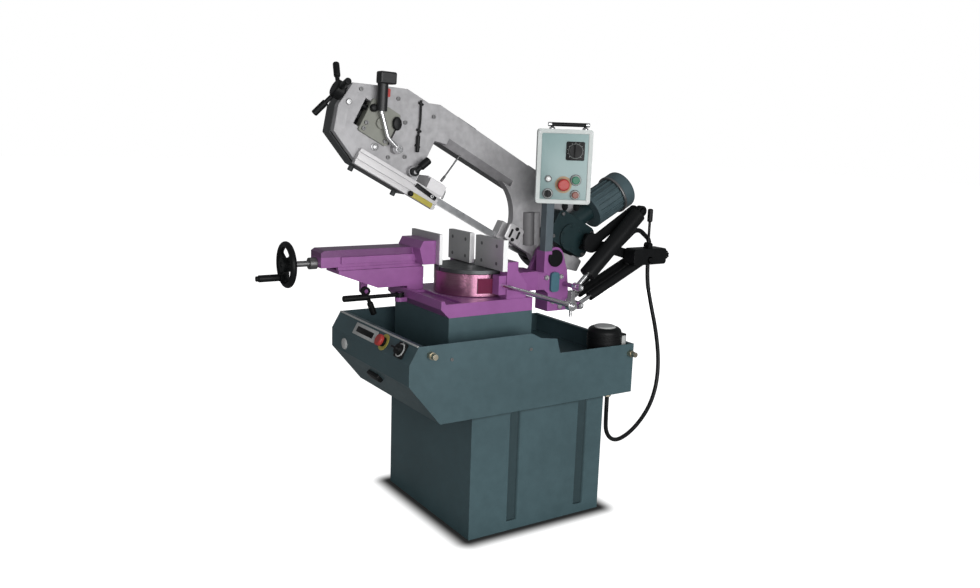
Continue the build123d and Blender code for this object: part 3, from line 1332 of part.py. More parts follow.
def tension_block():
    """Sliding block in the bow's slot, with the idler's axle and a keeper plate."""
    half = TENSION_SLOT_HALF - SLIDING
    length = (IDLER_Y - TENSION_BLOCK_LENGTH / 2, IDLER_Y + TENSION_BLOCK_LENGTH / 2)
    body = block((CASTING_X[0], CASTING_X[1] + SLIDING), length, (WHEEL_Z - half, WHEEL_Z + half))
    plate_y = (length[0] - KEEPER_SHIFT, length[1] - KEEPER_SHIFT)
    plate_z = (WHEEL_Z - half - KEEPER_LAP, WHEEL_Z + half + KEEPER_LAP)
    plate_x = (CASTING_X[1] + SLIDING, CASTING_X[1] + KEEPER_PLATE)
    body += slab(rectangle(plate_y, plate_z, KEEPER_CORNER), plate_x)
    side = WHEEL_WIDTH / 2
    cap_lip, cap_thick = AXLE_CAP
    nut_lip, nut_thick = AXLE_NUT
    body += bar_x(IDLER_Y, WHEEL_Z, AXLE_R, (-side - AXLE_OVERHANG, CASTING_X[0]))
    body += bar_x(IDLER_Y, WHEEL_Z, AXLE_R + cap_lip, (-side - cap_thick, -side - SLIDING))
    body += bar_x(IDLER_Y, WHEEL_Z, AXLE_R + AXLE_SHOULDER, (side + SLIDING, CASTING_X[0]))
    body += bar_x(IDLER_Y, WHEEL_Z, AXLE_R + nut_lip, (plate_x[1], plate_x[1] + nut_thick))
    screw_z = WHEEL_Z + TENSION_RISE
    screw_y = (length[0], length[0] + TENSION_BORE)
    return on_bow(body - bar_y(TENSION_SCREW_X, screw_z, TENSION_SCREW_R + RUNNING, screw_y))


def tension_handle():
    """Tension screw with its three-armed handle."""
    hub_end = TENSION_HUB + TENSION_HUB_H / 2
    screw_end = IDLER_Y - TENSION_BLOCK_LENGTH / 2 + TENSION_SCREW_REACH
    centre = (TENSION_SCREW_X, WHEEL_Z + TENSION_RISE)
    screw = bar_y(*centre, TENSION_SCREW_R, (hub_end - TENSION_SCREW_SEAT, screw_end))
    hub = bar_y(*centre, TENSION_HUB_R, (hub_end - TENSION_HUB_H, hub_end))
    handle = screw + fillet(hub.edges().filter_by(GeomType.CIRCLE), TENSION_HUB_ROUND)
    for turn in TENSION_ARMS:
        out = (math.sin(math.radians(turn)), math.cos(math.radians(turn)))
        start = (centre[0], TENSION_HUB, centre[1])
        tip_x = centre[0] + TENSION_ARM * out[0]
        tip = (tip_x, TENSION_HUB - TENSION_ARM_DISH, centre[1] + TENSION_ARM * out[1])
        knob_start = tuple((Vector(*start) + Vector(*tip)) / 2)
        handle += bar(start, tip, TENSION_ARM_R)
        knob = bar(knob_start, tip, TENSION_KNOB_R)
        handle += fillet(knob.edges().filter_by(GeomType.CIRCLE), GRIP_ROUND)
    return on_bow(handle)


def band_run(start, end):
    """Straight toothed run of the band, standing on edge between the guides."""
    low = BAND_AXIS - BAND_WIDTH / 2
    teeth = int((end - start) / TOOTH_PITCH)
    points = [(start, BAND_AXIS + BAND_WIDTH / 2), (start, low)]
    for tooth in range(teeth):
        y = start + tooth * TOOTH_PITCH
        points.append((y + TOOTH_BACK, low + TOOTH_DEPTH))
        points.append((y + TOOTH_PITCH, low))
    points += [(end, low), (end, BAND_AXIS + BAND_WIDTH / 2)]
    return slab(outline(dict.fromkeys(points)), (-BAND_THICK / 2, BAND_THICK / 2))


def band_twist(start, end, steps=6):
    """Stretch of the band that turns from edgewise to flat on its way to a wheel."""
    sections = []
    for step in range(steps + 1):
        share = step / steps
        origin = (0, start + (end - start) * share, BAND_AXIS)
        plane = Plane(origin=origin, x_dir=(1, 0, 0), z_dir=(0, 1, 0))
        sections.append(plane * (Rot(0, 0, 90 - 90 * share) * Rectangle(BAND_WIDTH, BAND_THICK)))
    return loft(sections, ruled=True)


def saw_band():
    """Endless band round both wheels, edgewise between the guides."""
    half = BAND_WIDTH / 2
    radius = WHEEL_R + BAND_GAP
    ring = Circle(radius + BAND_THICK) - Circle(radius)
    wrap = 2 * radius
    rear = Pos(DRIVE_Y, WHEEL_Z) * (ring & Pos(wrap / 2, 0) * Rectangle(wrap, 2 * wrap))
    front = Pos(IDLER_Y, WHEEL_Z) * (ring & Pos(-wrap / 2, 0) * Rectangle(wrap, 2 * wrap))
    top = rectangle((IDLER_Y, DRIVE_Y), (WHEEL_Z + radius, WHEEL_Z + radius + BAND_THICK))
    flat = (BAND_AXIS - BAND_THICK / 2, BAND_AXIS + BAND_THICK / 2)
    low_front = rectangle((IDLER_Y, BAND_TWISTS[0][1]), flat)
    low_rear = rectangle((BAND_TWISTS[1][1], DRIVE_Y), flat)
    band = slab(rear + front + top + low_front + low_rear, (-half, half))
    band += band_run(BAND_TWISTS[0][0], BAND_TWISTS[1][0])
    for start, end in BAND_TWISTS:
        band += band_twist(start, end)
    return on_bow(band)


def guide_head(span, top, reach):
    """Guide block over the band, slotted for it and open below."""
    head = block((-GUIDE_HALF, reach), span, (GUIDE_FOOT, top))
    slot_top = BAND_AXIS + BAND_WIDTH / 2 + GUIDE_SLOT_TOP
    return head - block((-GUIDE_SLOT / 2, GUIDE_SLOT / 2), span, (GUIDE_FOOT, slot_top))


def rear_guide():
    """Fixed guide under the bow's leg, with its clamp bolts."""
    head = guide_head(REAR_GUIDE, REAR_GUIDE_TOP, CASTING_X[0])
    middle = (REAR_GUIDE[0] + REAR_GUIDE[1]) / 2
    for y in (middle - REAR_BOLT_SPREAD, middle + REAR_BOLT_SPREAD):
        head += bar_x(y, REAR_BOLT_Z, REAR_BOLT_R, (-GUIDE_HALF - REAR_BOLT_H, -GUIDE_HALF))
    return on_bow(head)


def guide_bar():
    """Grooved bar along the bow's lower edge that carries the front guide."""
    rail = slab(rectangle(BAR_ENDS, BAR_Z, BAR_CORNER), BAR_X)
    middle = (BAR_Z[0] + BAR_Z[1]) / 2
    for z in (middle - BAR_GROOVE_SPREAD, middle + BAR_GROOVE_SPREAD):
        groove_z = (z - BAR_GROOVE_W / 2, z + BAR_GROOVE_W / 2)
        rail -= block((BAR_X[1] - BAR_GROOVE, BAR_X[1]), BAR_ENDS, groove_z)
    return on_bow(rail)


def front_guide():
    """Adjustable guide: arm from the bar to the band, slotted head and pad screws."""
    head = guide_head(FRONT_GUIDE, FRONT_GUIDE_TOP, BAR_X[0])
    head += block(BAR_X, FRONT_GUIDE, (BAR_Z[1], FRONT_GUIDE_TOP - GUIDE_STEP))
    for y in (FRONT_GUIDE[0] + PAD_SCREW_INSET, FRONT_GUIDE[1] - PAD_SCREW_INSET):
        head += bar_x(y, PAD_SCREW_Z, PAD_SCREW_R, (-GUIDE_HALF - PAD_SCREW_H, -GUIDE_HALF))
    return on_bow(head)


def guide_lock():
    """Lever that clamps the guide bar."""
    hub = bar_x(*LOCK_AT, LOCK_HUB_R, (BAR_X[1] + SLIDING, BAR_X[1] + LEVER_HUB_H))
    root_x, grip_x, tip_x = (BAR_X[1] + out for out in LOCK_ARM_X)
    tip = (tip_x, LOCK_AT[0] + LOCK_REACH[0], LOCK_AT[1] + LOCK_REACH[1])
    arm = bar((root_x, *LOCK_AT), tip, LOCK_ARM_R)
    grip = bar((grip_x, LOCK_AT[0] + LOCK_GRIP_START[0], LOCK_AT[1] + LOCK_GRIP_START[1]), tip, LOCK_GRIP_R)
    part = hub + arm + fillet(grip.edges().filter_by(GeomType.CIRCLE), GRIP_ROUND)
    return on_bow(part - shaft_hole(*LOCK_AT, LEVER_ROD_R, (BAR_X[1], BAR_X[1] + LEVER_HUB_H)))


def handle_head_plane():
    """Plane at the end of the pull handle's grip, looking along it."""
    below = Vector(HANDLE_X, *HANDLE_ROUTE[-2])
    tip = Vector(HANDLE_X, *HANDLE_ROUTE[-1])
    return Plane(origin=tip, x_dir=(1, 0, 0), z_dir=tip - below)


def pull_handle():
    """Bent rod with a grip and a head that holds the trigger."""
    points = [(HANDLE_X, y, z) for y, z in HANDLE_ROUTE]
    path = FilletPolyline(*points, radius=HANDLE_BEND_R)
    first = Vector(*points[1]) - Vector(*points[0])
    rod = sweep(Plane(origin=points[0], z_dir=first) * Circle(HANDLE_ROD_R), path=path)
    half = HANDLE_ROD_R + HANDLE_FOOT_LIP
    foot = bar_x(*HANDLE_ROUTE[0], HANDLE_FOOT_R, (HANDLE_X - half, HANDLE_X + half))
    plane = handle_head_plane()
    grip = Pos(0, 0, -HANDLE_GRIP_LENGTH) * stack((HANDLE_GRIP_R, HANDLE_GRIP_LENGTH))
    wide, deep, high = HANDLE_HEAD
    head = Pos(0, HANDLE_HEAD_REACH - deep / 2, high / 2) * Box(wide, deep, high)
    head = fillet(head.edges(), HANDLE_HEAD_ROUND)
    pocket = trigger_pocket(SLIDING, HANDLE_GRIP_R + TRIGGER_TRAVEL + TRIGGER_SPARE)
    return on_bow(rod + foot + plane.location * (grip + head) - plane.location * pocket)


def trigger_pocket(slack, depth):
    """Space for the trigger in the front of the grip, just below the head."""
    wide, high, out = TRIGGER_SIZE
    size = (wide + 2 * slack, depth, high + 2 * slack)
    return Pos(0, HANDLE_GRIP_R + out / 2 - depth / 2, -high) * Box(*size)


def trigger():
    """Run trigger in the pull handle."""
    key = trigger_pocket(0, HANDLE_GRIP_R + TRIGGER_ROOT)
    key = fillet(key.edges().filter_by(Axis.X), TRIGGER_ROUND)
    return on_bow(handle_head_plane().location * key)


def gearbox():
    """Worm gearbox: rounded case, bolted cover, bearing bore and the motor's neck."""
    case = slab(rectangle(GEARBOX_Y, GEARBOX_Z, GEARBOX_CORNER), (CASTING_X[1], GEARBOX_X_END))
    cover_x = (GEARBOX_X_END, GEARBOX_X_END + GEAR_COVER_H)
    cover_z = WHEEL_Z + GEAR_COVER_RISE
    case += bar_x(DRIVE_Y, cover_z, GEAR_COVER_R, cover_x)
    for bolt in range(GEAR_BOLTS):
        turn = 2 * math.pi * bolt / GEAR_BOLTS
        y = DRIVE_Y + GEAR_BOLT_AT * math.cos(turn)
        z = cover_z + GEAR_BOLT_AT * math.sin(turn)
        case += bar_x(y, z, GEAR_BOLT_R, (cover_x[1], cover_x[1] + GEAR_BOLT_H))
    neck_plane = motor_plane(0)
    case += neck_plane.location * stack((MOTOR_NECK_R, MOTOR_START))
    case -= shaft_hole(DRIVE_Y, WHEEL_Z, AXLE_R, (CASTING_X[1], GEARBOX_X_END - SHAFT_COVER + HEAD_CLEAR))
    return on_bow(case)


def motor_plane(along):
    """Plane square to the motor's axis, this far from its root in the gearbox."""
    lean = math.radians(MOTOR_LEAN)
    axis = Vector(0, math.cos(lean), math.sin(lean))
    return Plane(origin=Vector(MOTOR_X, *MOTOR_AT) + axis * along, x_dir=(1, 0, 0), z_dir=axis)


def motor():
    """Finned motor with the slotted fan cowl on its end."""
    section = Circle(MOTOR_R - MOTOR_FIN)
    for turn in range(MOTOR_FINS):
        angle = 360 * turn / MOTOR_FINS
        fin = Pos(MOTOR_R - MOTOR_FIN, 0) * Rectangle(2 * MOTOR_FIN, MOTOR_FIN_THICK)
        section += Rot(0, 0, angle) * fin
    ribbed = Pos(0, 0, MOTOR_FLANGE) * extrude(section, MOTOR_LENGTH - MOTOR_FLANGE)
    body = stack((MOTOR_R, MOTOR_FLANGE)) + ribbed
    cowl = stack((COWL_R, COWL_LENGTH))
    cowl = fillet(cowl.edges().filter_by(GeomType.CIRCLE).sort_by(Axis.Z)[-1], COWL_ROUND)
    for slot in range(COWL_SLOTS):
        cowl -= Rot(0, 0, 360 * slot / COWL_SLOTS) * (Pos(COWL_SLOT_AT, 0, COWL_LENGTH) * Box(*COWL_SLOT))
    both = motor_plane(MOTOR_START).location * body
    both += motor_plane(MOTOR_START + MOTOR_LENGTH).location * cowl
    return on_bow(both)


def strut_bracket():
    """Two-armed plate on the gearbox that the spring and the feed cylinder are pinned to."""
    plate = Pos(*STRUT_ROOT) * Circle(STRUT_ARM_W)
    for top in (SPRING_TOP, FEED_TOP):
        arm = Vector(*top) - Vector(*STRUT_ROOT)
        middle = Vector(*STRUT_ROOT) + arm / 2
        angle = math.degrees(math.atan2(arm.Y, arm.X))
        plate += Pos(middle.X, middle.Y) * (Rot(0, 0, angle) * Rectangle(arm.length, STRUT_ARM_W))
        plate += Pos(*top) * Circle(STRUT_ARM_W / 2)
    part = slab(plate, STRUT_PLATE_X)
    for z in (STRUT_ROOT[1] - STRUT_SPACER_SPREAD, STRUT_ROOT[1] + STRUT_SPACER_SPREAD):
        part += bar_x(STRUT_ROOT[0], z, STRUT_SPACER_R, (GEARBOX_X_END, STRUT_PLATE_X[0]))
    spring_end = SPRING_X + STRUT_EYE_W / 2 + STRUT_PIN_SPARE
    part += bar_x(*SPRING_TOP, STRUT_PIN_R, (STRUT_PLATE_X[1], spring_end))
    feed_ends = (FEED_X[0] - STRUT_EYE_W / 2 - STRUT_PIN_SPARE, VALVE_BLOCK_X[1] + VALVE_PIN_SPARE)
    part += bar_x(*FEED_TOP, STRUT_PIN_R, feed_ends)
    return on_bow(part)


def strut_plane(x, foot, top):
    """Plane at a strut's foot, looking along the strut with the bow raised."""
    end = raised(top)
    start = Vector(x, *foot)
    return Plane(origin=start, x_dir=(1, 0, 0), z_dir=Vector(x, *end) - start)


def strut_length(foot, top):
    """Length of a strut between its pins with the bow raised."""
    end = raised(top)
    return math.hypot(end[0] - foot[0], end[1] - foot[1])


def strut_eye(pin_r, rim_r):
    """Eye across the strut's axis for one of its pins."""
    eye = Rot(0, 90, 0) * Cylinder(rim_r, STRUT_EYE_W)
    return eye, Rot(0, 90, 0) * Cylinder(pin_r, STRUT_EYE_W)


def strut_rod(x, foot, top, radius):
    """Rod with an eye on the bracket's pin, running up into its tube."""
    length = strut_length(foot, top)
    eye, hole = strut_eye(STRUT_PIN_R + RUNNING, STRUT_EYE_R)
    rod = stack((radius, length - STRUT_HEAD - STRUT_ROD_SPARE))
    return strut_plane(x, foot, top).location * (eye + rod - hole)


def strut_tube(x, foot, top, radius, rod_r):
    """Tube over the rod, closed at the top by an eye on the bow's pin."""
    length = strut_length(foot, top)
    slack_r = STRUT_PIN_R + STRUT_PIN_SLACK
    eye, hole = strut_eye(slack_r, slack_r + STRUT_EYE_WALL)
    tube_end = length - slack_r - STRUT_NECK_LAP
    tube = Pos(0, 0, STRUT_ROD_SHOWN) * stack((radius, tube_end - STRUT_ROD_SHOWN))
    bore = length - STRUT_HEAD - STRUT_ROD_SHOWN - STRUT_MOUTH
    mouth = Pos(0, 0, STRUT_ROD_SHOWN) * stack((rod_r + RUNNING, STRUT_MOUTH), (radius - STRUT_WALL, bore))
    neck = Pos(0, 0, tube_end) * Box(STRUT_EYE_W, STRUT_NECK, 2 * slack_r)
    head = Pos(0, 0, length) * eye + neck - Pos(0, 0, length) * hole
    return strut_plane(x, foot, top).location * (tube - mouth + head)


def spring_rod():
    """Draw rod of the counterbalance spring."""
    return strut_rod(SPRING_X, SPRING_FOOT, SPRING_TOP, SPRING_ROD_R)


def spring_sleeve():
    """Sleeve of the counterbalance spring."""
    return strut_tube(SPRING_X, SPRING_FOOT, SPRING_TOP, SPRING_SLEEVE_R, SPRING_ROD_R)


def feed_rods():
    """Piston rods of the twin hydraulic feed cylinder."""
    rods = Part()
    for x in FEED_X:
        rods += strut_rod(x, FEED_FOOT, FEED_TOP, FEED_ROD_R)
    return rods


def valve_space():
    """Outer form of the valve block at the head of the feed cylinder."""
    face = rectangle(VALVE_BLOCK_Y, VALVE_BLOCK_Z, VALVE_CORNER)
    return slab(face, VALVE_BLOCK_X)


def feed_cylinder():
    """Twin tubes of the hydraulic feed cylinder."""
    tubes = strut_tube(FEED_X[0], FEED_FOOT, FEED_TOP, FEED_TUBE_R, FEED_ROD_R)
    return tubes + (strut_tube(FEED_X[1], FEED_FOOT, FEED_TOP, FEED_TUBE_R, FEED_ROD_R) - valve_space())


def valve_block():
    """Valve block on the cylinder's head, with ears for its lever and a seat for its knob."""
    part = valve_space()
    part -= bar_x(*raised(FEED_TOP), STRUT_PIN_R + STRUT_PIN_SLACK, VALVE_BLOCK_X)
    middle_x = sum(VALVE_BLOCK_X) / 2
    pivot_z = VALVE_BLOCK_Z[1] + VALVE_PIVOT_RISE
    ear_y = (VALVE_LEVER_Y - VALVE_EAR_R, VALVE_LEVER_Y + VALVE_EAR_R)
    ear_z = (VALVE_BLOCK_Z[1] - VALVE_EAR_ROOT, pivot_z)
    for side in (-1, 1):
        ear_x = sorted((middle_x + side * (VALVE_HUB_HALF + SLIDING), middle_x + side * VALVE_EAR_OUT))
        part += block(ear_x, ear_y, ear_z)
        part += bar_x(VALVE_LEVER_Y, pivot_z, VALVE_EAR_R, ear_x)
    pivot_x = (middle_x - VALVE_EAR_OUT, middle_x + VALVE_EAR_OUT)
    part += bar_x(VALVE_LEVER_Y, pivot_z, VALVE_PIVOT_R, pivot_x)
    knob_z = sum(VALVE_BLOCK_Z) / 2
    stub = (VALVE_BLOCK_Y[1], VALVE_BLOCK_Y[1] + FLOW_KNOB_H - FLOW_KNOB_CAP)
    return part + bar_y(middle_x, knob_z, FLOW_KNOB_STUB_R, stub)


def valve_lever():
    """Shut-off lever with a rounded grip."""
    middle_x = sum(VALVE_BLOCK_X) / 2
    pivot_z = VALVE_BLOCK_Z[1] + VALVE_PIVOT_RISE
    hub_x = (middle_x - VALVE_HUB_HALF, middle_x + VALVE_HUB_HALF)
    hub = bar_x(VALVE_LEVER_Y, pivot_z, VALVE_HUB_R, hub_x)
    grip_foot = (middle_x, VALVE_LEVER_Y, VALVE_LEVER_TOP - VALVE_GRIP_H)
    rod = bar((middle_x, VALVE_LEVER_Y, pivot_z), grip_foot, VALVE_LEVER_R)
    grip = bar(grip_foot, (middle_x, VALVE_LEVER_Y, VALVE_LEVER_TOP), VALVE_GRIP_R)
    grip = fillet(grip.edges().filter_by(GeomType.CIRCLE), VALVE_GRIP_ROUND)
    return hub + rod + grip - shaft_hole(VALVE_LEVER_Y, pivot_z, VALVE_PIVOT_R, hub_x)


def flow_knob():
    """Feed-rate knob on the end of the valve block."""
    middle_x = sum(VALVE_BLOCK_X) / 2
    knob_z = sum(VALVE_BLOCK_Z) / 2
    start = VALVE_BLOCK_Y[1] + SLIDING
    face = Circle(FLOW_KNOB_R)
    for flute in range(FLOW_KNOB_FLUTES):
        turn = Rot(0, 0, 360 * flute / FLOW_KNOB_FLUTES)
        face -= turn * (Pos(FLOW_KNOB_R + FLOW_KNOB_FLUTE_OUT, 0) * Circle(FLOW_KNOB_FLUTE_R))
    knob = extrude(face, FLOW_KNOB_H) - stack((FLOW_KNOB_STUB_R + RUNNING, FLOW_KNOB_H - FLOW_KNOB_CAP))
    return Plane(origin=(middle_x, start, knob_z), x_dir=(1, 0, 0), z_dir=(0, 1, 0)).location * knob


def coolant_pump():
    """Upright coolant pump: column through the floor, base, motor and terminal box."""
    place = Pos(*PUMP_AT, TRAY_FLOOR)
    motor_h = PUMP_TOP - TRAY_FLOOR - PUMP_BASE - PUMP_NECK_H
    body = stack((PUMP_BASE_R, PUMP_BASE), (PUMP_NECK_R, PUMP_NECK_H), (PUMP_R, motor_h))
    body = fillet(body.edges().filter_by(GeomType.CIRCLE).sort_by(Axis.Z)[-1], PUMP_ROUND)
    column_h = TRAY_FLOOR - TANK_Z[0] - TANK_RAIL - PUMP_COLUMN_GAP
    column = Pos(0, 0, -column_h) * stack((PUMP_COLUMN_R, column_h))
    terminal = Pos(*PUMP_BOX_AT) * Box(*PUMP_BOX)
    return place * (body + column + terminal)


def coolant_tank():
    """Open tank on rails in the hollow under the tray floor."""
    wall = SHEET
    low = TANK_Z[0] + TANK_RAIL
    tank = block(TANK_X, TANK_Y, (low, TANK_Z[1]))
    inner_x = (TANK_X[0] + wall, TANK_X[1] - wall)
    inner_y = (TANK_Y[0] + wall, TANK_Y[1] - wall)
    tank -= block(inner_x, inner_y, (low + wall, TANK_Z[1]))
    rail_x = (TANK_X[0] + TANK_RAIL_ENDS[0], TANK_X[1] - TANK_RAIL_ENDS[1])
    for y in (TANK_Y[0] + TANK_RAIL_FRONT, TANK_Y[1] - TANK_RAIL_REAR):
        tank += block(rail_x, (y, y + TANK_RAIL_W), (TANK_Z[0], low))
    return tank


def brass_fittings():
    """Hexagon plugs on the tray's side and the conduit's gland under the tray."""
    parts = Part()
    for y, z in TRAY_STUDS:
        plane = Plane(origin=(TRAY_HALF_WIDTH, y, z), z_dir=(1, 0, 0))
        parts += extrude(plane * RegularPolygon(TRAY_STUD_R, 6), TRAY_STUD_HEX_H)
        parts += plane.location * stack((TRAY_STUD_END_R, TRAY_STUD_H))
    end = CONDUIT_ROUTE[-1]
    plane = Plane(origin=(end[0], end[1], CABINET_HEIGHT), z_dir=(0, 0, -1))
    return parts + extrude(plane * RegularPolygon(GLAND_R, 6), TRAY_GLAND_H)


def conduit_radii():
    """Bend radius at each inner point of the conduit's route."""
    points = [Vector(*point) for point in CONDUIT_ROUTE]
    radii = []
    for before, here, after in zip(points, points[1:], points[2:]):
        turn = math.radians((here - before).get_angle(after - here))
        shorter = min((here - before).length, (after - here).length)
        radii.append(CONDUIT_BEND_SHARE * shorter / math.tan(turn / 2))
    return radii


def conduit_hose():
    """Flexible conduit hanging in a loop from the gooseneck to the tray's underside."""
    path = FilletPolyline(*CONDUIT_ROUTE, radius=conduit_radii())
    first = Vector(*CONDUIT_ROUTE[1]) - Vector(*CONDUIT_ROUTE[0])
    return sweep(Plane(origin=CONDUIT_ROUTE[0], z_dir=first) * Circle(CONDUIT_R), path=path)


NODES = {
    "cabinet": cabinet,
    "tray": tray,
    "console_bezels": console_bezels,
    "estop_button": estop_button,
    "main_switch": main_switch,
    "riser": riser,
    "bed": bed,
    "fixed_jaw_walls": fixed_jaw_walls,
    "fixed_jaw_plates": fixed_jaw_plates,
    "stop_rod": stop_rod,
    "stop_head": stop_head,
    "vise_support": vise_support,
    "vise_slide": vise_slide,
    "moving_jaw_plate": moving_jaw_plate,
    "vise_screw": vise_screw,
    "handwheel": handwheel,
    "crank_grip": crank_grip,
    "swivel_lever": swivel_lever,
    "vise_lever": vise_lever,
    "swivel_arm": swivel_arm,
    "table_disc": table_disc,
    "hinge_bracket": hinge_bracket,
    "hinge_pin": hinge_pin,
    "limit_switch": limit_switch,
    "control_post": control_post,
    "control_box": control_box,
    "box_handle": box_handle,
    "speed_dial": lambda: box_knob(DIAL_AT, DIAL_R, DIAL_H, DIAL_WING),
    "selector_knob": lambda: box_knob(SELECTOR_AT, SELECTOR_R, SELECTOR_H, SELECTOR_WING),
    "start_button": lambda: box_button(START_BUTTON_AT, START_R, START_H),
    "stop_button": lambda: box_button(STOP_BUTTON_AT, STOP_R, STOP_H),
    "coolant_button": lambda: box_button(COOLANT_BUTTON_AT, COOLANT_R, COOLANT_H),
    "hose_gooseneck": gooseneck,
    "bow_casting": bow_casting,
    "wheel_cover": wheel_cover,
    "drive_wheel": drive_wheel,
    "idler_wheel": idler_wheel,
    "tension_block": tension_block,
    "tension_handle": tension_handle,
    "saw_band": saw_band,
    "rear_guide": rear_guide,
    "guide_bar": guide_bar,
    "front_guide": front_guide,
    "guide_lock": guide_lock,
    "pull_handle": pull_handle,
    "trigger": trigger,
    "gearbox": gearbox,
    "motor": motor,
    "strut_bracket": strut_bracket,
    "spring_rod": spring_rod,
    "spring_sleeve": spring_sleeve,
    "feed_rods": feed_rods,
    "feed_cylinder": feed_cylinder,
    "valve_block": valve_block,
    "valve_lever": valve_lever,
    "flow_knob": flow_knob,
    "coolant_pump": coolant_pump,
    "coolant_tank": coolant_tank,
    "brass_fittings": brass_fittings,
    "conduit_hose": conduit_hose,
}

os.makedirs("parts", exist_ok=True)
for name, make in NODES.items():
    export_step(make(), f"parts/{name}.step")
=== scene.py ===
"""Looks of a mitre band saw for metal: finishes, small fittings, conduit, stage and camera.

Metres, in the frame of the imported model: +Z up, -Y the operator's side, +X the gearbox side.
"""
import json
import math

import bmesh
import bpy
from mathutils import Matrix, Quaternion, Vector


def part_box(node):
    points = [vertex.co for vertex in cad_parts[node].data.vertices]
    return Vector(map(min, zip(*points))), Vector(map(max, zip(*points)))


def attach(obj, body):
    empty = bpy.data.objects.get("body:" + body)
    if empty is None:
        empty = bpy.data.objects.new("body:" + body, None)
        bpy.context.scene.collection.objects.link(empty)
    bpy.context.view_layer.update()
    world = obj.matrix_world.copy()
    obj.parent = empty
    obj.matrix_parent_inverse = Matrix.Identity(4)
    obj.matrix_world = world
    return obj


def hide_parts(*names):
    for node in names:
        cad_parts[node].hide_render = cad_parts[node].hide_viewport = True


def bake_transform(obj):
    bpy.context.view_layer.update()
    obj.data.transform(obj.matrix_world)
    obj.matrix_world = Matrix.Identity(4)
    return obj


bl_info = {
    "name": "Band saw dressing",
    "version": (1, 0, 0),
    "blender": (4, 5, 0),
    "location": "3D View > Sidebar > Band saw",
    "description": "Finishes and small fittings of a metal cutting band saw",
    "category": "Object",
}

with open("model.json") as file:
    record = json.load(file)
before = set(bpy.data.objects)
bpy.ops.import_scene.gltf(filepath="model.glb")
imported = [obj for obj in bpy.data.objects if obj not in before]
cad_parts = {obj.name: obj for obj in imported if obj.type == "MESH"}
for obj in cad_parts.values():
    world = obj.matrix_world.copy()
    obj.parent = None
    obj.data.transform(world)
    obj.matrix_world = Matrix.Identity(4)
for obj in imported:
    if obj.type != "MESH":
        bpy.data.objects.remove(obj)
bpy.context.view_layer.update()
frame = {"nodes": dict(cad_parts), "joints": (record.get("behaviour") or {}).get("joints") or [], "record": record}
JOINTS = {joint["name"]: joint for joint in frame["joints"]}

# Millimetre, gap between faces that lie on each other, reach of a mask past a face, prefix of the finishes,
# least angle of a sharp edge, and directions
MM = 0.001
HAIR = 0.0002
NEAR = 0.0006
OWN = "saw_"
SHARP = math.radians(32.0)
ACROSS = Vector((1.0, 0.0, 0.0))
REARWARD = Vector((0.0, 1.0, 0.0))
UP = Vector((0.0, 0.0, 1.0))

# Bow: its frame, raised about the hinge, and the places of its fittings, in millimetres on the level bow
RAISE = math.radians(28.0)
HINGE = Vector(JOINTS["bow_swing"]["pos_m"])
BOW = Matrix.Translation(HINGE) @ Matrix.Rotation(-RAISE, 4, "X")
BOW_SIDE = 50.0
NOSE_SIDE = 45.5
BLOCK_SIDE = 61.0
GEARBOX_SIDE = 118.0
GUIDE_SIDE = 70.0
# Middle of a dark patch of painted shade on the bow's side, near the top of the leg
SHADE_PATCH_AT = (BOW_SIDE, -285.0, 180.0)
ROUND_KNOB_AT = (-846.0, 118.0)
OVAL_KNOB_AT = (-753.0, 115.0)
STEPPED_STUD_AT = (-780.0, 16.0)
DOMED_STUD_AT = (-921.0, 96.0)
ROD_X = 57.0
ROD_UPPER = ((-708.0, 227.0), (-694.0, 198.0), (-679.0, 168.0), (-668.0, 138.0), (-662.0, 122.0))
ROD_LOWER = ((-663.0, 124.0), (-662.0, 122.0), (-651.0, 98.0), (-641.0, 76.0), (-640.0, 74.0))
ROD_CLIPS = ((-703.0, 217.0), (-668.0, 138.0), (-648.0, 92.0))
PIPE_X = 24.0
PIPE_BEND = ((-474.0, 152.0), (-478.0, 138.0), (-484.0, 104.0))
PIPE_END = ((-491.0, 68.0), (-496.0, 46.0), (-497.0, 41.0))
TIP_ROUTE = ((-500.0, 30.0), (-486.0, 32.0), (-474.0, 28.0), (-467.0, 14.0), (-464.0, -10.0))
RIB_X = 55.0
RIB_ROUTE = ((-138.0, 108.0), (-120.0, 76.0), (-98.0, 38.0), (-80.0, 6.0))
RIB_SHIFT = (26.0, 13.0)
PAD_AT = (-154.0, 12.0)
PAD_THICK = 6.0
PAD_SLOTS = ((-170.0, 8.0, 0.034), (-138.0, 14.0, 0.030))
PAD_STUDS = ((-154.0, 32.0), (-154.0, -10.0))
GUARD_AT = (-559.0, -57.0)
CLAMP_AT = (-556.0, -27.0)
CLAMP_LEAN = math.radians(-5.0)
CLAMP_THICK = 6.0
CLAMP_KNOB_AT = (-606.0, -58.0)
CLAMP_EYE_AT = (-530.0, -29.3)
PULL_TIP = (80.0, -860.0, 195.0)
PULL_SHAFT = (80.0, -822.0, 116.0)
PULL_GRIP = 84.1
TOOTH_TIPS = (0.0, 0.0, -34.3)
MOTOR_AT = (85.0, 0.0, 105.0)
MOTOR_LEAN = math.radians(56.0)
MOTOR_END = 274.0

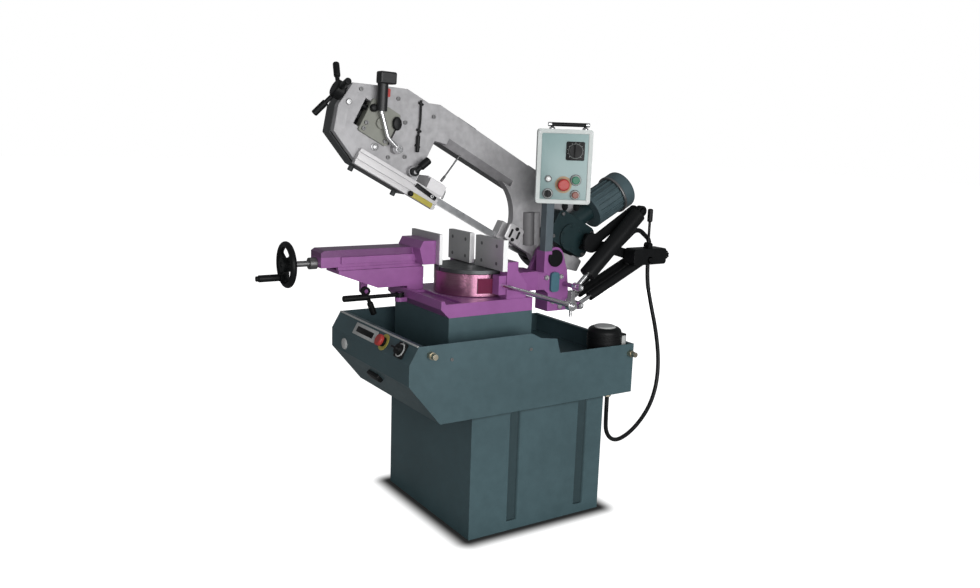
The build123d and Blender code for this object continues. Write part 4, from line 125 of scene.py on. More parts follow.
# Control box: its case, and the controls on its face, across and up from the middle of its foot
BOX_HALF = 0.095
BOX_HIGH = 0.255
BOX_DEEP = 0.080
BOX_FRAME = 0.014
BOX_RECESS = 0.003
FILM_FOOT = 1.12
FILM_TALL = 0.24
BOX_DIAL = (0.036, 0.182)
BOX_LAMP = (-0.053, 0.085)
BOX_STOP = (0.000, 0.066)
BOX_BEZELS = (
    (BOX_LAMP, 0.0090),
    (BOX_STOP, 0.0165),
    ((0.042, 0.083), 0.0165),
    ((0.042, 0.032), 0.0145),
    ((-0.053, 0.034), 0.0155),
)
BOX_GLANDS = (0.012, 0.052)
BOX_HANDLE_FEET = (-0.045, 0.070)
BOX_HANDLE_ENDS = ((-0.057, -1.0), (0.082, 1.0))
BOX_HANDLE_RISE = 0.016
DIAL_COLLAR = 0.032

# Turntable and vise
SWIVEL = Vector(JOINTS["mitre_swivel"]["pos_m"])
DRUM_R = 0.138
ARM_ROOT = 0.055
FIXED_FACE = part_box("fixed_jaw_plates")[0].y
MOVING_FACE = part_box("moving_jaw_plate")[1].y
# Across-positions of the jaw plates' ends, which carry a painted highlight
JAW_ENDS = (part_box("moving_jaw_plate")[1].x, -0.024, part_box("fixed_jaw_plates")[1].x)
# Bounds of the painted shade on the vise slide's top
SLIDE_LEDGE_TOP = JOINTS["vise_screw_turn"]["pos_m"][2] + 0.023
SLIDE_HEAD = MOVING_FACE - 0.076

# Cabinet, tray, console and pump
CABINET_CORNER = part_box("cabinet")[1]
TRAY_LOW, TRAY_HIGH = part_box("tray")
# Line of the pale bead that paints the highlight on the console's top edge
CONSOLE_TOP = (-0.488, TRAY_HIGH.z - 0.002)
CONSOLE_PLATE = (-0.0535, 0.002)
ESTOP_X = 0.091
SWITCH_X = JOINTS["main_switch_turn"]["pos_m"][0]
SWITCH_PLATE = 0.006
NOSE_CAP_AT = (-0.185, TRAY_LOW.y, 0.602)
LATCH_AT = (-0.001, -0.487, 0.530)
LATCH_FACING = (0.0, -0.139, -0.115)
PUMP_AT = (0.235, 0.318)

# Screws: on the bow in millimetres along and up it, on the jaws in columns and rows, elsewhere along Y and Z
NOSE_SCREWS = (
    (-722.0, 137.0),
    (-723.0, 10.0),
    (-671.0, 40.0),
    (-905.0, 150.0),
    (-640.0, 205.0),
    (-780.0, 190.0),
)
GEARBOX_SCREWS = ((-44.0, 68.0), (112.0, 68.0), (-44.0, 156.0), (112.0, 156.0))
KEEPER_SCREWS = ((-846.0, 66.0), (-846.0, 46.0), (-762.0, 46.0), (-762.0, 66.0))
BRACKET_SIDE = 0.130
BRACKET_BOLTS = ((0.150, 0.760), (0.182, 0.740), (0.182, 0.850), (0.118, 0.850))
PIN_END = 0.2213
ANCHOR_PINS = ((0.200, 0.822), (0.205, 0.757))
TRAY_SCREWS = ((-0.369, 0.643), (-0.060, 0.643))
FIXED_JAW_COLUMNS = (-0.145, -0.055, 0.055, 0.150)
MOVING_JAW_COLUMNS = (-0.190, -0.050)
JAW_ROWS = (0.915, 0.975)
JAW_SCREW_HEIGHT = 0.0004

# Route of the conduit, from the gooseneck's gland to the gland under the tray
CONDUIT_ROUTE = (
    (0.095, 0.642, 0.880),
    (0.095, 0.642, 0.805),
    (0.104, 0.664, 0.706),
    (0.116, 0.690, 0.600),
    (0.130, 0.702, 0.490),
    (0.144, 0.690, 0.390),
    (0.160, 0.648, 0.310),
    (0.177, 0.580, 0.252),
    (0.194, 0.500, 0.214),
    (0.210, 0.420, 0.206),
    (0.224, 0.362, 0.252),
    (0.238, 0.346, 0.330),
    (0.238, 0.346, 0.405),
)

# Stage: floor with its contact shadow, ambient light, and lamps as place, width, height and power
FLOOR_REACH = 30.0
SHADOW_START = 0.010
SHADOW_END = 0.085
SHADOW = (0.01, 0.01, 0.01, 1.0)
PALE_FLOOR = (0.45, 0.45, 0.45, 1.0)
AMBIENT = (0.21, 0.215, 0.22, 1.0)
WHITE = (1.0, 1.0, 1.0, 1.0)
BLACK = (0.0, 0.0, 0.0, 1.0)
LIT_POINT = Vector((0.0, 0.0, 0.85))
LAMPS = {
    "key": ((4.4, -0.7, 1.35), 4.2, 2.3, 162.0),
    "strip": ((2.55, -3.80, 1.2), 0.18, 2.2, 12.0),
    "top": ((0.5, 0.3, 4.2), 2.5, 2.5, 5.0),
    "far": ((-3.7, 3.0, 0.9), 3.6, 1.8, 80.0),
}

# Camera of the photograph
CAMERA_AT = (2.61887, -1.75549, 1.36092)
CAMERA_TURN = math.radians(56.69)
CAMERA_RISE = math.radians(10.54)
CAMERA_ROLL = math.radians(1.97)
CAMERA_LENS = 32.2


def colour_property(name, description, default):
    """Paint or plastic colour that a user may change."""
    return bpy.props.FloatVectorProperty(
        name=name, description=description, default=default, size=3, min=0.0, max=1.0, subtype="COLOR"
    )


def length_property(name, description, default):
    """Length in metres that a user may change."""
    return bpy.props.FloatProperty(
        name=name, description=description, default=default, min=0.0, subtype="DISTANCE", unit="LENGTH"
    )


class SawColours(bpy.types.PropertyGroup):
    """Colours of the saw's paints, metals and plastics."""

    cabinet: colour_property("Cabinet", "Paint of cabinet, tray and riser", (0.060, 0.104, 0.117))
    castings: colour_property("Castings", "Paint of bed, vise and hinge bracket", (0.305, 0.104, 0.312))
    pad: colour_property("Pad", "Paint of the pad on the turntable's drum", (0.135, 0.005, 0.042))
    bow: colour_property("Bow", "Cast aluminium of the bow", (0.400, 0.395, 0.405))
    cover: colour_property("Wheel cover", "Paint of the wheel cover", (0.055, 0.058, 0.060))
    pale: colour_property("Pale metal", "Machined aluminium of the band guides", (0.580, 0.570, 0.578))
    steel: colour_property("Steel", "Ground steel of jaws, screws and pipes", (0.500, 0.500, 0.505))
    iron: colour_property("Iron", "Turned iron of turntable and band wheels", (0.085, 0.090, 0.093))
    motor: colour_property("Motor", "Paint of the motor", (0.060, 0.092, 0.103))
    gearbox: colour_property("Gearbox", "Paint of the gearbox", (0.010, 0.025, 0.028))
    drum: colour_property("Drum", "Turned metal of the turntable's drum", (0.400, 0.190, 0.280))
    block: colour_property("Tension block", "Paint of the tension block", (0.240, 0.245, 0.215))
    post: colour_property("Post", "Paint of the control box's post", (0.096, 0.122, 0.138))
    box: colour_property("Control box", "Paint of the control box", (0.600, 0.640, 0.625))
    panel: colour_property("Panel", "Film on the control box's panel", (0.245, 0.352, 0.350))
    black: colour_property("Black", "Black paint, plastic and conduit", (0.0065, 0.0070, 0.0075))
    yellow: colour_property("Yellow", "Band guard and emergency-stop disc", (0.440, 0.380, 0.080))
    red: colour_property("Red", "Stop buttons and trigger", (0.420, 0.045, 0.040))
    green: colour_property("Green", "Start button", (0.014, 0.165, 0.090))
    brown: colour_property("Brown", "Coolant button", (0.210, 0.060, 0.040))
    switch: colour_property("Limit switch", "Case of the limit switch", (0.060, 0.150, 0.190))
    brass: colour_property("Brass", "Turned brass of plugs and glands", (0.520, 0.470, 0.360))
    tan: colour_property("Tan", "Disc behind the stop button", (0.400, 0.270, 0.160))
    grey: colour_property("Light grey", "Bare plates and caps", (0.480, 0.490, 0.480))


class SawSizes(bpy.types.PropertyGroup):
    """Sizes of the small fittings."""

    edge: length_property("Edge", "Softness of painted and cast edges", 0.0022)
    conduit: length_property("Conduit", "Outer diameter of the conduit", 0.016)
    screw: length_property("Cap screw", "Head diameter of the cap screws", 0.013)
    bolt: length_property("Bolt", "Head diameter of the hexagon bolts", 0.019)


class Wire:
    """An output socket of a node tree, with arithmetic that adds Math nodes."""

    def __init__(self, tree, socket):
        self.tree = tree
        self.socket = socket

    def math(self, operation, *values):
        return self.tree.add("ShaderNodeMath", {"operation": operation}, dict(enumerate(values)))

    def __add__(self, other):
        return self.math("ADD", self, other)

    __radd__ = __add__

    def __sub__(self, other):
        return self.math("SUBTRACT", self, other)

    def __rsub__(self, other):
        return self.math("SUBTRACT", other, self)

    def __mul__(self, other):
        return self.math("MULTIPLY", self, other)

    __rmul__ = __mul__

    def __pow__(self, other):
        return self.math("POWER", self, other)

    def __mod__(self, other):
        return self.math("FLOORED_MODULO", self, other)

    def __gt__(self, other):
        return self.math("GREATER_THAN", self, other)

    def __lt__(self, other):
        return self.math("LESS_THAN", self, other)

    def __abs__(self):
        return self.math("ABSOLUTE", self)

    def largest(self, other):
        return self.math("MAXIMUM", self, other)


class NodeTree:
    """A node tree with one way to add a node: its type, its settings, then its sockets."""

    def __init__(self, tree):
        self.tree = tree

    def add(self, kind, settings=None, sockets=None, out=0):
        node = self.tree.nodes.new(kind)
        for name, value in (settings or {}).items():
            setattr(node, name, value)
        for key, value in (sockets or {}).items():
            self.feed(node.inputs[key], value)
        return Wire(self, node.outputs[out])

    def feed(self, socket, value):
        if isinstance(value, Wire):
            self.tree.links.new(value.socket, socket)
        else:
            socket.default_value = value

    def mix(self, share, first, second):
        """Colour between two colours."""
        return self.add("ShaderNodeMix", {"data_type": "RGBA"}, {0: share, 6: first, 7: second}, 2)

    def camera_ray(self):
        """1 where the camera looks straight at a surface or past everything, else 0."""
        return self.add("ShaderNodeLightPath", out="Is Camera Ray")


class Finish(NodeTree):
    """A material on Object coordinates, in metres."""

    def __init__(self, name, **fixed):
        self.material = bpy.data.materials.new(OWN + name)
        self.material.use_nodes = True
        super().__init__(self.material.node_tree)
        self.shader = self.tree.nodes["Principled BSDF"]
        for socket, value in fixed.items():
            self.shader.inputs[socket.replace("_", " ")].default_value = value
        self.place = self.add("ShaderNodeTexCoord", out="Object")

    def surface(self, colour, roughness, metallic=0.0):
        """Link or set what the whole surface has."""
        self.feed(self.shader.inputs["Base Color"], colour)
        self.feed(self.shader.inputs["Roughness"], roughness)
        self.feed(self.shader.inputs["Metallic"], metallic)
        return self

    def vector(self, operation, *values, out="Vector"):
        """Vector Math on vectors."""
        return self.add("ShaderNodeVectorMath", {"operation": operation}, dict(enumerate(values)), out)

    def noise(self, size, detail=3.0, stretch=(1.0, 1.0, 1.0)):
        """Cloudy pattern whose patches are about this many metres wide."""
        scaled = self.vector("MULTIPLY", self.place, stretch)
        sockets = {"Vector": scaled, "Scale": 1.0 / size, "Detail": detail}
        return self.add("ShaderNodeTexNoise", None, sockets, "Fac")

    def turning_lines(self, measure, scale):
        """Fine tool lines across one measure."""
        sockets = {"W": measure, "Scale": scale}
        return self.add("ShaderNodeTexNoise", {"noise_dimensions": "1D"}, sockets, "Fac")

    def step(self, value, low, high):
        """Smooth step from 0 below low to 1 above high."""
        settings = {"interpolation_type": "SMOOTHSTEP"}
        return self.add("ShaderNodeMapRange", settings, {"Value": value, "From Min": low, "From Max": high})

    def tones(self, share, colour, dark, light):
        """Colour between two shades of one colour."""
        return self.mix(share, shade(colour, dark), shade(colour, light))

    def axes(self):
        """The three object coordinates."""
        return [self.add("ShaderNodeSeparateXYZ", None, {0: self.place}, axis) for axis in "XYZ"]

    def along(self, origin, direction):
        """Distance from a point along a direction."""
        offset = self.vector("SUBTRACT", self.place, tuple(origin))
        return self.vector("DOT_PRODUCT", offset, tuple(Vector(direction).normalized()), out="Value")

    def from_point(self, origin):
        """Distance from a point."""
        return self.vector("DISTANCE", self.place, tuple(origin), out="Value")

    def from_axis(self, origin):
        """Distance from an upright axis."""
        offset = self.vector("SUBTRACT", self.place, tuple(origin))
        return self.vector("LENGTH", self.vector("MULTIPLY", offset, (1.0, 1.0, 0.0)), out="Value")

    def soft_normal(self, radius):
        """Normal rounded over sharp edges."""
        return self.add("ShaderNodeBevel", {"samples": 6}, {"Radius": radius})

    def soft_edge(self, radius):
        """Normal rounded over sharp edges, and a mask of those edges."""
        rounded = self.soft_normal(radius)
        facing = self.add("ShaderNodeNewGeometry", out="Normal")
        agree = self.vector("DOT_PRODUCT", rounded, facing, out="Value")
        return rounded, self.step(1.0 - agree, 0.01, 0.20)

    def bump(self, height, distance, rounded=None):
        """Fine relief of this depth in metres, over a rounded normal where there is one."""
        sockets = {"Height": height, "Distance": distance, "Strength": 1.0}
        if rounded is not None:
            sockets["Normal"] = rounded
        self.feed(self.shader.inputs["Normal"], self.add("ShaderNodeBump", None, sockets))
        return self


def shade(colour, factor):
    """The same colour, lighter or darker, with alpha."""
    return (*(min(1.0, channel * factor) for channel in colour[:3]), 1.0)


def tint(name):
    """One of the user's colours, with alpha."""
    return (*getattr(bpy.context.scene.saw_colours, name), 1.0)


def edge_radius():
    """The user's softness of painted edges."""
    return bpy.context.scene.saw_sizes.edge


def paint(name, colour, roughness, grain, depth, worn=0.35, coat=0.0, sheen=0.3, darken=None):
    """Sprayed paint on metal: clouds, orange peel or grain, thinner and lighter on edges.

    Where darken is given, it makes a mask of the places that are darker: painted shade on the cabinet and the vise
    slide, a darker collar on the control box.
    """
    finish = Finish(name, Coat_Weight=coat, Coat_Roughness=0.12, Specular_IOR_Level=sheen)
    cloud = finish.noise(0.30, detail=4.0)
    mottle = finish.noise(0.035, detail=5.0)
    peel = finish.noise(grain, detail=2.0)
    rounded, edge = finish.soft_edge(edge_radius())
    tone = finish.tones(finish.step(cloud * 0.6 + mottle * 0.4, 0.30, 0.70), colour, 0.88, 1.10)
    rub = edge * finish.step(mottle, 0.42, 0.62) * worn
    tone = finish.mix(rub, tone, shade(colour, 2.1))
    if darken:
        tone = finish.mix(darken(finish), tone, shade(colour, 0.25))
    finish.surface(tone, roughness + (mottle - 0.5) * 0.16 - rub * 0.1)
    return finish.bump(peel, depth, rounded).material


def sheet_paint(name, darken=None):
    """Structure paint on folded sheet."""
    return paint(name, tint("cabinet"), roughness=0.42, grain=0.0016, depth=0.00025, worn=0.55, darken=darken)


def cabinet_paint():
    """Structure paint of tray, riser and coolant tank."""
    return sheet_paint("cabinet_paint")


def shade_in_grooves_and_under_tray(finish):
    """Mask of painted shade in the cabinet's pressed grooves and along its top edge, under the tray."""
    across, depth, height = finish.axes()
    sunk = finish.step(CABINET_CORNER.x - abs(across), 0.001, 0.007)
    side = abs(depth) < CABINET_CORNER.y - 0.012
    top = finish.step(height, CABINET_CORNER.z - 0.014, CABINET_CORNER.z)
    return (sunk * side * 0.62).largest(top * 0.75)


def shell_paint():
    """Structure paint of the cabinet, with painted shade in its grooves and under the tray."""
    return sheet_paint("shell_paint", darken=shade_in_grooves_and_under_tray)


def casting_paint(name, darken=None):
    """Gloss paint over rough castings."""
    colour = tint("castings")
    return paint(
        name, colour, roughness=0.36, grain=0.0045, depth=0.0006, worn=0.40, coat=0.25, darken=darken
    )


def purple_paint():
    """Gloss paint of bed, jaw walls, vise support and hinge bracket."""
    return casting_paint("purple_paint")


def shade_on_slide_top(finish):
    """Mask of painted shade on the vise slide's top, above its ledges and in front of its head."""
    depth, height = finish.axes()[1:]
    return (height > SLIDE_LEDGE_TOP) * (depth < SLIDE_HEAD) * 0.60


def slide_paint():
    """Gloss paint of the vise slide, with painted shade above its ledges."""
    return casting_paint("slide_paint", darken=shade_on_slide_top)


def motor_paint():
    """Paint of the motor."""
    return paint("motor_paint", tint("motor"), roughness=0.40, grain=0.0030, depth=0.0004, worn=0.5)


def gearbox_paint():
    """Darker paint of the gearbox."""
    return paint("gearbox_paint", tint("gearbox"), roughness=0.40, grain=0.0030, depth=0.0004, worn=0.5)


def block_paint():
    """Dull paint of the tension block."""
    return paint("block_paint", tint("block"), roughness=0.50, grain=0.0024, depth=0.0003, worn=0.3)


def cover_paint():
    """Paint of the wheel cover."""
    return paint("cover_paint", tint("cover"), roughness=0.45, grain=0.0016, depth=0.0003, worn=0.5)


def post_paint():
    """Paint of the control box's post."""
    return paint("post_paint", tint("post"), roughness=0.42, grain=0.0016, depth=0.0002, worn=0.4)


def dial_collar(finish):
    """Mask of the collar that the speed dial turns in."""
    return finish.from_point(JOINTS["dial_turn"]["pos_m"]) < DIAL_COLLAR


def box_paint():
    """Paint of the control box, darker on the dial's collar."""
    return paint(
        "box_paint", tint("box"), roughness=0.40, grain=0.0020, depth=0.00015, worn=0.25, darken=dial_collar
    )


def black_paint():
    """Satin black paint of struts, levers, handwheel and pump."""
    return paint(
        "black_paint", tint("black"), roughness=0.40, grain=0.0020, depth=0.0002, worn=0.6, sheen=0.15
    )


def cast_aluminium():
    """Sand-cast aluminium, tumbled, with darker bloom, brighter worn edges and a dark patch of painted shade near
    the top of the leg.
    """
    colour = tint("bow")
    finish = Finish("cast_aluminium")
    bloom = finish.noise(0.16, detail=5.0)
    patch = finish.noise(0.022, detail=6.0)
    grain = finish.noise(0.0013, detail=2.0)
    rounded, edge = finish.soft_edge(edge_radius() * 1.6)
    tone = finish.tones(finish.step(bloom * 0.55 + patch * 0.45, 0.34, 0.66), colour, 0.80, 1.12)
    # Painted shade: darker round a point near the top of the leg
    painted_shade = 1.0 - finish.step(finish.from_point(on_bow(*SHADE_PATCH_AT)), 0.04, 0.19)
    tone = finish.mix(painted_shade * 0.45, tone, shade(colour, 0.30))
    tone = finish.mix(edge * 0.45, tone, shade(colour, 1.6))
    finish.surface(tone, 0.55 + (patch - 0.5) * 0.22 - edge * 0.1, 0.25)
    return finish.bump(grain * 0.7 + patch * 0.3, 0.0005, rounded).material


def dark_casting():
    """Cast housing in the bow's shade, its colour painted darker than the bow's faces as painted shade."""
    colour = shade(tint("bow"), 0.42)
    return paint("dark_casting", colour, roughness=0.48, grain=0.0020, depth=0.0004, worn=0.3)


def machined(name, colour, stretch, roughness, metallic=1.0, stains=0.25):
    """Ground or turned metal, with tool lines across the stretch and faint stains."""
    finish = Finish(name)
    lines = finish.noise(0.0009, detail=2.0, stretch=stretch)
    stain = finish.noise(0.05, detail=5.0)
    tone = finish.tones(lines * 0.5 + stain * 0.5, colour, 0.82, 1.14)
    tone = finish.mix(finish.step(stain, 0.56, 0.75) * stains, tone, shade(colour, 0.5))
    finish.surface(tone, roughness + (lines - 0.5) * 0.20 + finish.step(stain, 0.5, 0.75) * 0.1, metallic)
    return finish.bump(lines, 0.00012, finish.soft_normal(edge_radius() * 0.5)).material


def steel():
    """Ground steel of screws, studs and rivets."""
    return machined("steel", tint("steel"), (0.05, 1.0, 1.0), roughness=0.36, metallic=0.7)


def jaw_steel():
    """Ground steel of the jaws, with their ends painted near white as a painted highlight."""
    finish = Finish("jaw_steel")
    across = finish.axes()[0]
    ends = sum(abs(across - end) < NEAR for end in JAW_ENDS)
    lines = finish.noise(0.0009, detail=2.0, stretch=(0.05, 1.0, 1.0))
    stain = finish.noise(0.05, detail=5.0)
    tone = finish.tones(lines * 0.5 + stain * 0.5, tint("steel"), 0.90, 1.25)
    # Painted highlight: the jaw plates' ends near white and not metallic
    tone = finish.mix(ends, tone, (0.95, 0.95, 0.95, 1.0))
    finish.surface(tone, 0.36 + (lines - 0.5) * 0.2 + ends * 0.2, 0.6 - ends * 0.6)
    return finish.bump(lines, 0.00012, finish.soft_normal(edge_radius() * 0.5)).material


def dull_steel():
    """Darker steel of pipes, screws and rings."""
    return machined("dull_steel", shade(tint("steel"), 0.40), (1.0, 1.0, 0.1), roughness=0.42, metallic=0.8)


def pale_metal():
    """Machined aluminium of the band guides."""
    return machined("pale_metal", tint("pale"), (1.0, 0.06, 1.0), roughness=0.36, metallic=0.35, stains=0.12)


def bright_metal():
    """Brighter machined aluminium of the front guide."""
    colour = shade(tint("pale"), 1.25)
    return machined("bright_metal", colour, (1.0, 0.06, 1.0), roughness=0.40, metallic=0.2, stains=0.1)


def chrome():
    """Plating of rods, nuts and ferrules."""
    return machined("chrome", (0.80, 0.80, 0.81, 1.0), (1.0, 0.1, 1.0), roughness=0.14, stains=0.1)


def brass():
    """Turned brass of plugs and glands."""
    return machined("brass", tint("brass"), (0.2, 1.0, 1.0), roughness=0.30, stains=0.4)


def table_iron():
    """Turned iron, with rings about the swivel's axis and oil stains."""
    colour = tint("iron")
    finish = Finish("table_iron")
    rings = finish.turning_lines(finish.from_axis(SWIVEL), scale=900.0)
    stain = finish.noise(0.04, detail=6.0)
    rounded, edge = finish.soft_edge(edge_radius() * 0.6)
    tone = finish.tones(rings * 0.45 + stain * 0.55, colour, 0.65, 1.3)
    tone = finish.mix(edge * 0.5, tone, shade(colour, 2.4))
    finish.surface(tone, 0.36 + (stain - 0.5) * 0.3, 0.75)
    return finish.bump(rings, 0.00015, rounded).material


def drum_iron():
    """Turntable casting: turned band on the drum, painted arm and a darker painted pad."""
    metal = tint("drum")
    finish = Finish("drum_iron", Specular_IOR_Level=0.15)
    lines = finish.turning_lines(finish.along(SWIVEL, UP), scale=1300.0)
    mottle = finish.noise(0.03, detail=5.0)
    peel = finish.noise(0.0045, detail=2.0)
    rounded, edge = finish.soft_edge(edge_radius())
    turned = finish.tones(lines * 0.6 + mottle * 0.4, metal, 0.75, 1.25)
    painted = finish.tones(mottle, tint("castings"), 0.88, 1.1)
    pad = finish.tones(mottle, tint("pad"), 0.85, 1.15)
    rear = finish.along(SWIVEL, REARWARD) > ARM_ROOT
    out = finish.from_axis(SWIVEL) > DRUM_R + NEAR
    bare = 1.0 - out
    tone = finish.mix(out, turned, finish.mix(rear, pad, painted))
    tone = finish.mix(edge * 0.3, tone, shade(metal, 1.3))
    finish.surface(tone, 0.17 + out * 0.21 + (mottle - 0.5) * 0.15 + (lines - 0.5) * bare * 0.15, bare * 0.90)
    return finish.bump(peel * out + lines * bare * 0.3, 0.0005, rounded).material


def plastic(name, colour, roughness, coat=0.0, sheen=0.3):
    """Moulded plastic with a fine grain and handling marks."""
    finish = Finish(name, Coat_Weight=coat, Coat_Roughness=0.1, Specular_IOR_Level=sheen)
    mottle = finish.noise(0.02, detail=5.0)
    grain = finish.noise(0.0011, detail=2.0)
    rounded, edge = finish.soft_edge(edge_radius() * 0.6)
    tone = finish.tones(mottle, colour, 0.82, 1.18)
    tone = finish.mix(edge * 0.3, tone, shade(colour, 1.9))
    finish.surface(tone, roughness + (mottle - 0.5) * 0.2)
    return finish.bump(grain, 0.00012, rounded).material


def black_plastic():
    """Black moulded knobs and grips."""
    return plastic("black_plastic", tint("black"), roughness=0.42, sheen=0.2)


def red_plastic():
    """Red stop buttons and trigger."""
    return plastic("red_plastic", tint("red"), roughness=0.34, coat=0.1)


def green_plastic():
    """Green start button."""
    return plastic("green_plastic", tint("green"), roughness=0.34, coat=0.1)


def brown_plastic():
    """Coolant button."""
    return plastic("brown_plastic", tint("brown"), roughness=0.34, coat=0.2)


def yellow_plastic():
    """Yellow guard and emergency-stop disc."""
    return plastic("yellow_plastic", tint("yellow"), roughness=0.40)


def tan_plastic():
    """Disc behind the stop button."""
    return plastic("tan_plastic", tint("tan"), roughness=0.45)


def grey_plate():
    """Bare light plates and caps."""
    return plastic("grey_plate", tint("grey"), roughness=0.38)


def white_lens():
    """White lamp lens and tick marks."""
    return plastic("white_lens", (0.82, 0.83, 0.82, 1.0), roughness=0.22, coat=0.4)


def switch_plastic():
    """Case of the limit switch."""
    return plastic("switch_plastic", tint("switch"), roughness=0.38)


def conduit():
    """Smooth black sheath of the conduit, dusty in patches."""
    finish = Finish("conduit", Specular_IOR_Level=0.25)
    smear = finish.noise(0.05, detail=5.0)
    fine = finish.noise(0.0015, detail=2.0)
    tone = finish.tones(finish.step(smear, 0.40, 0.72), tint("black"), 0.9, 2.2)
    finish.surface(tone, 0.40 + (smear - 0.5) * 0.25)
    return finish.bump(fine, 0.0001).material


def panel_film():
    """Printed film on the control panel, a little darker towards its foot."""
    finish = Finish("panel_film")
    rise = finish.step(finish.along((0.0, 0.0, FILM_FOOT), UP), 0.0, FILM_TALL)
    cloud = finish.noise(0.06, detail=4.0)
    fine = finish.noise(0.0008, detail=2.0)
    tone = finish.tones(rise * 0.7 + cloud * 0.3, tint("panel"), 0.86, 1.10)
    finish.surface(tone, 0.34 + (cloud - 0.5) * 0.1)
    return finish.bump(fine, 0.00006).material


def pull_handle_finish():
    """Plated rod with a black grip and head."""
    colour = tint("black")
    finish = Finish("pull_handle_finish")
    tip = on_bow(*PULL_TIP)
    past_tip = finish.along(tip, tip - on_bow(*PULL_SHAFT))
    grip_end = -PULL_GRIP * MM
    grip = finish.step(past_tip, grip_end - 0.0003, grip_end + 0.0003)
    mottle = finish.noise(0.02, detail=5.0)
    fine = finish.noise(0.0012, detail=2.0)
    rounded, edge = finish.soft_edge(edge_radius() * 0.6)
    dark = finish.tones(mottle, colour, 0.8, 1.3)
    bright = finish.mix(mottle, (0.70, 0.70, 0.71, 1.0), (0.82, 0.82, 0.83, 1.0))
    tone = finish.mix(grip, bright, finish.mix(edge * 0.4, dark, shade(colour, 3.0)))
    finish.surface(tone, 0.16 + grip * 0.26 + (mottle - 0.5) * 0.12, 1.0 - grip)
    return finish.bump(fine * grip, 0.00025, rounded).material


def band_steel():
    """Spring steel of the band, blued, with brighter teeth."""
    finish = Finish("band_steel")
    depth = finish.along(on_bow(*TOOTH_TIPS), BOW.to_3x3() @ UP)
    teeth = 1.0 - finish.step(depth, 0.003, 0.006)
    lines = finish.noise(0.0009, detail=2.0, stretch=(1.0, 0.05, 0.05))
    tone = finish.mix(lines, (0.30, 0.31, 0.32, 1.0), (0.44, 0.44, 0.45, 1.0))
    tone = finish.mix(teeth, tone, (0.66, 0.66, 0.67, 1.0))
    finish.surface(tone, 0.34 + (lines - 0.5) * 0.2, 0.9)
    return finish.bump(lines, 0.00008).material


FINISHES = {
    make.__name__: make
    for make in (
        cabinet_paint, shell_paint, purple_paint, slide_paint, motor_paint, gearbox_paint, block_paint,
        cover_paint, post_paint, box_paint, black_paint, cast_aluminium, dark_casting, steel, jaw_steel,
        dull_steel, pale_metal, bright_metal, chrome, brass, table_iron, drum_iron, black_plastic,
        red_plastic, green_plastic, brown_plastic, yellow_plastic, tan_plastic, grey_plate, white_lens,
        switch_plastic, conduit, panel_film, pull_handle_finish, band_steel,
    )
}

# Nodes whose finish isn't simply that of their material slot
OWN_FINISH = {
    "cabinet": "shell_paint",
    "vise_slide": "slide_paint",
    "vise_screw": "dull_steel",
    "fixed_jaw_plates": "jaw_steel",
    "moving_jaw_plate": "jaw_steel",
    "wheel_cover": "cover_paint",
    "gearbox": "gearbox_paint",
    "front_guide": "bright_metal",
    "tension_block": "block_paint",
    "control_post": "post_paint",
    "pull_handle": "pull_handle_finish",
    "saw_band": "band_steel",
}


def material(name):
    """A finish by name, made on first use."""
    return bpy.data.materials.get(OWN + name) or FINISHES[name]()


def circle(radius, sides):
    """Points round a circle."""
    turns = [2 * math.pi * step / sides for step in range(sides)]
    return [Vector((radius * math.cos(turn), radius * math.sin(turn), 0.0)) for turn in turns]


def rounded_rectangle(wide, high, corner, steps=5):
    """Points round a rectangle with arcs at its corners."""
    points = []
    for quarter, (side_x, side_y) in enumerate(((1, 1), (-1, 1), (-1, -1), (1, -1))):
        middle = Vector((side_x * (wide / 2 - corner), side_y * (high / 2 - corner), 0.0))
        for step in range(steps + 1):
            turn = (quarter + step / steps) * math.pi / 2
            points.append(middle + Vector((corner * math.cos(turn), corner * math.sin(turn), 0.0)))
    return points


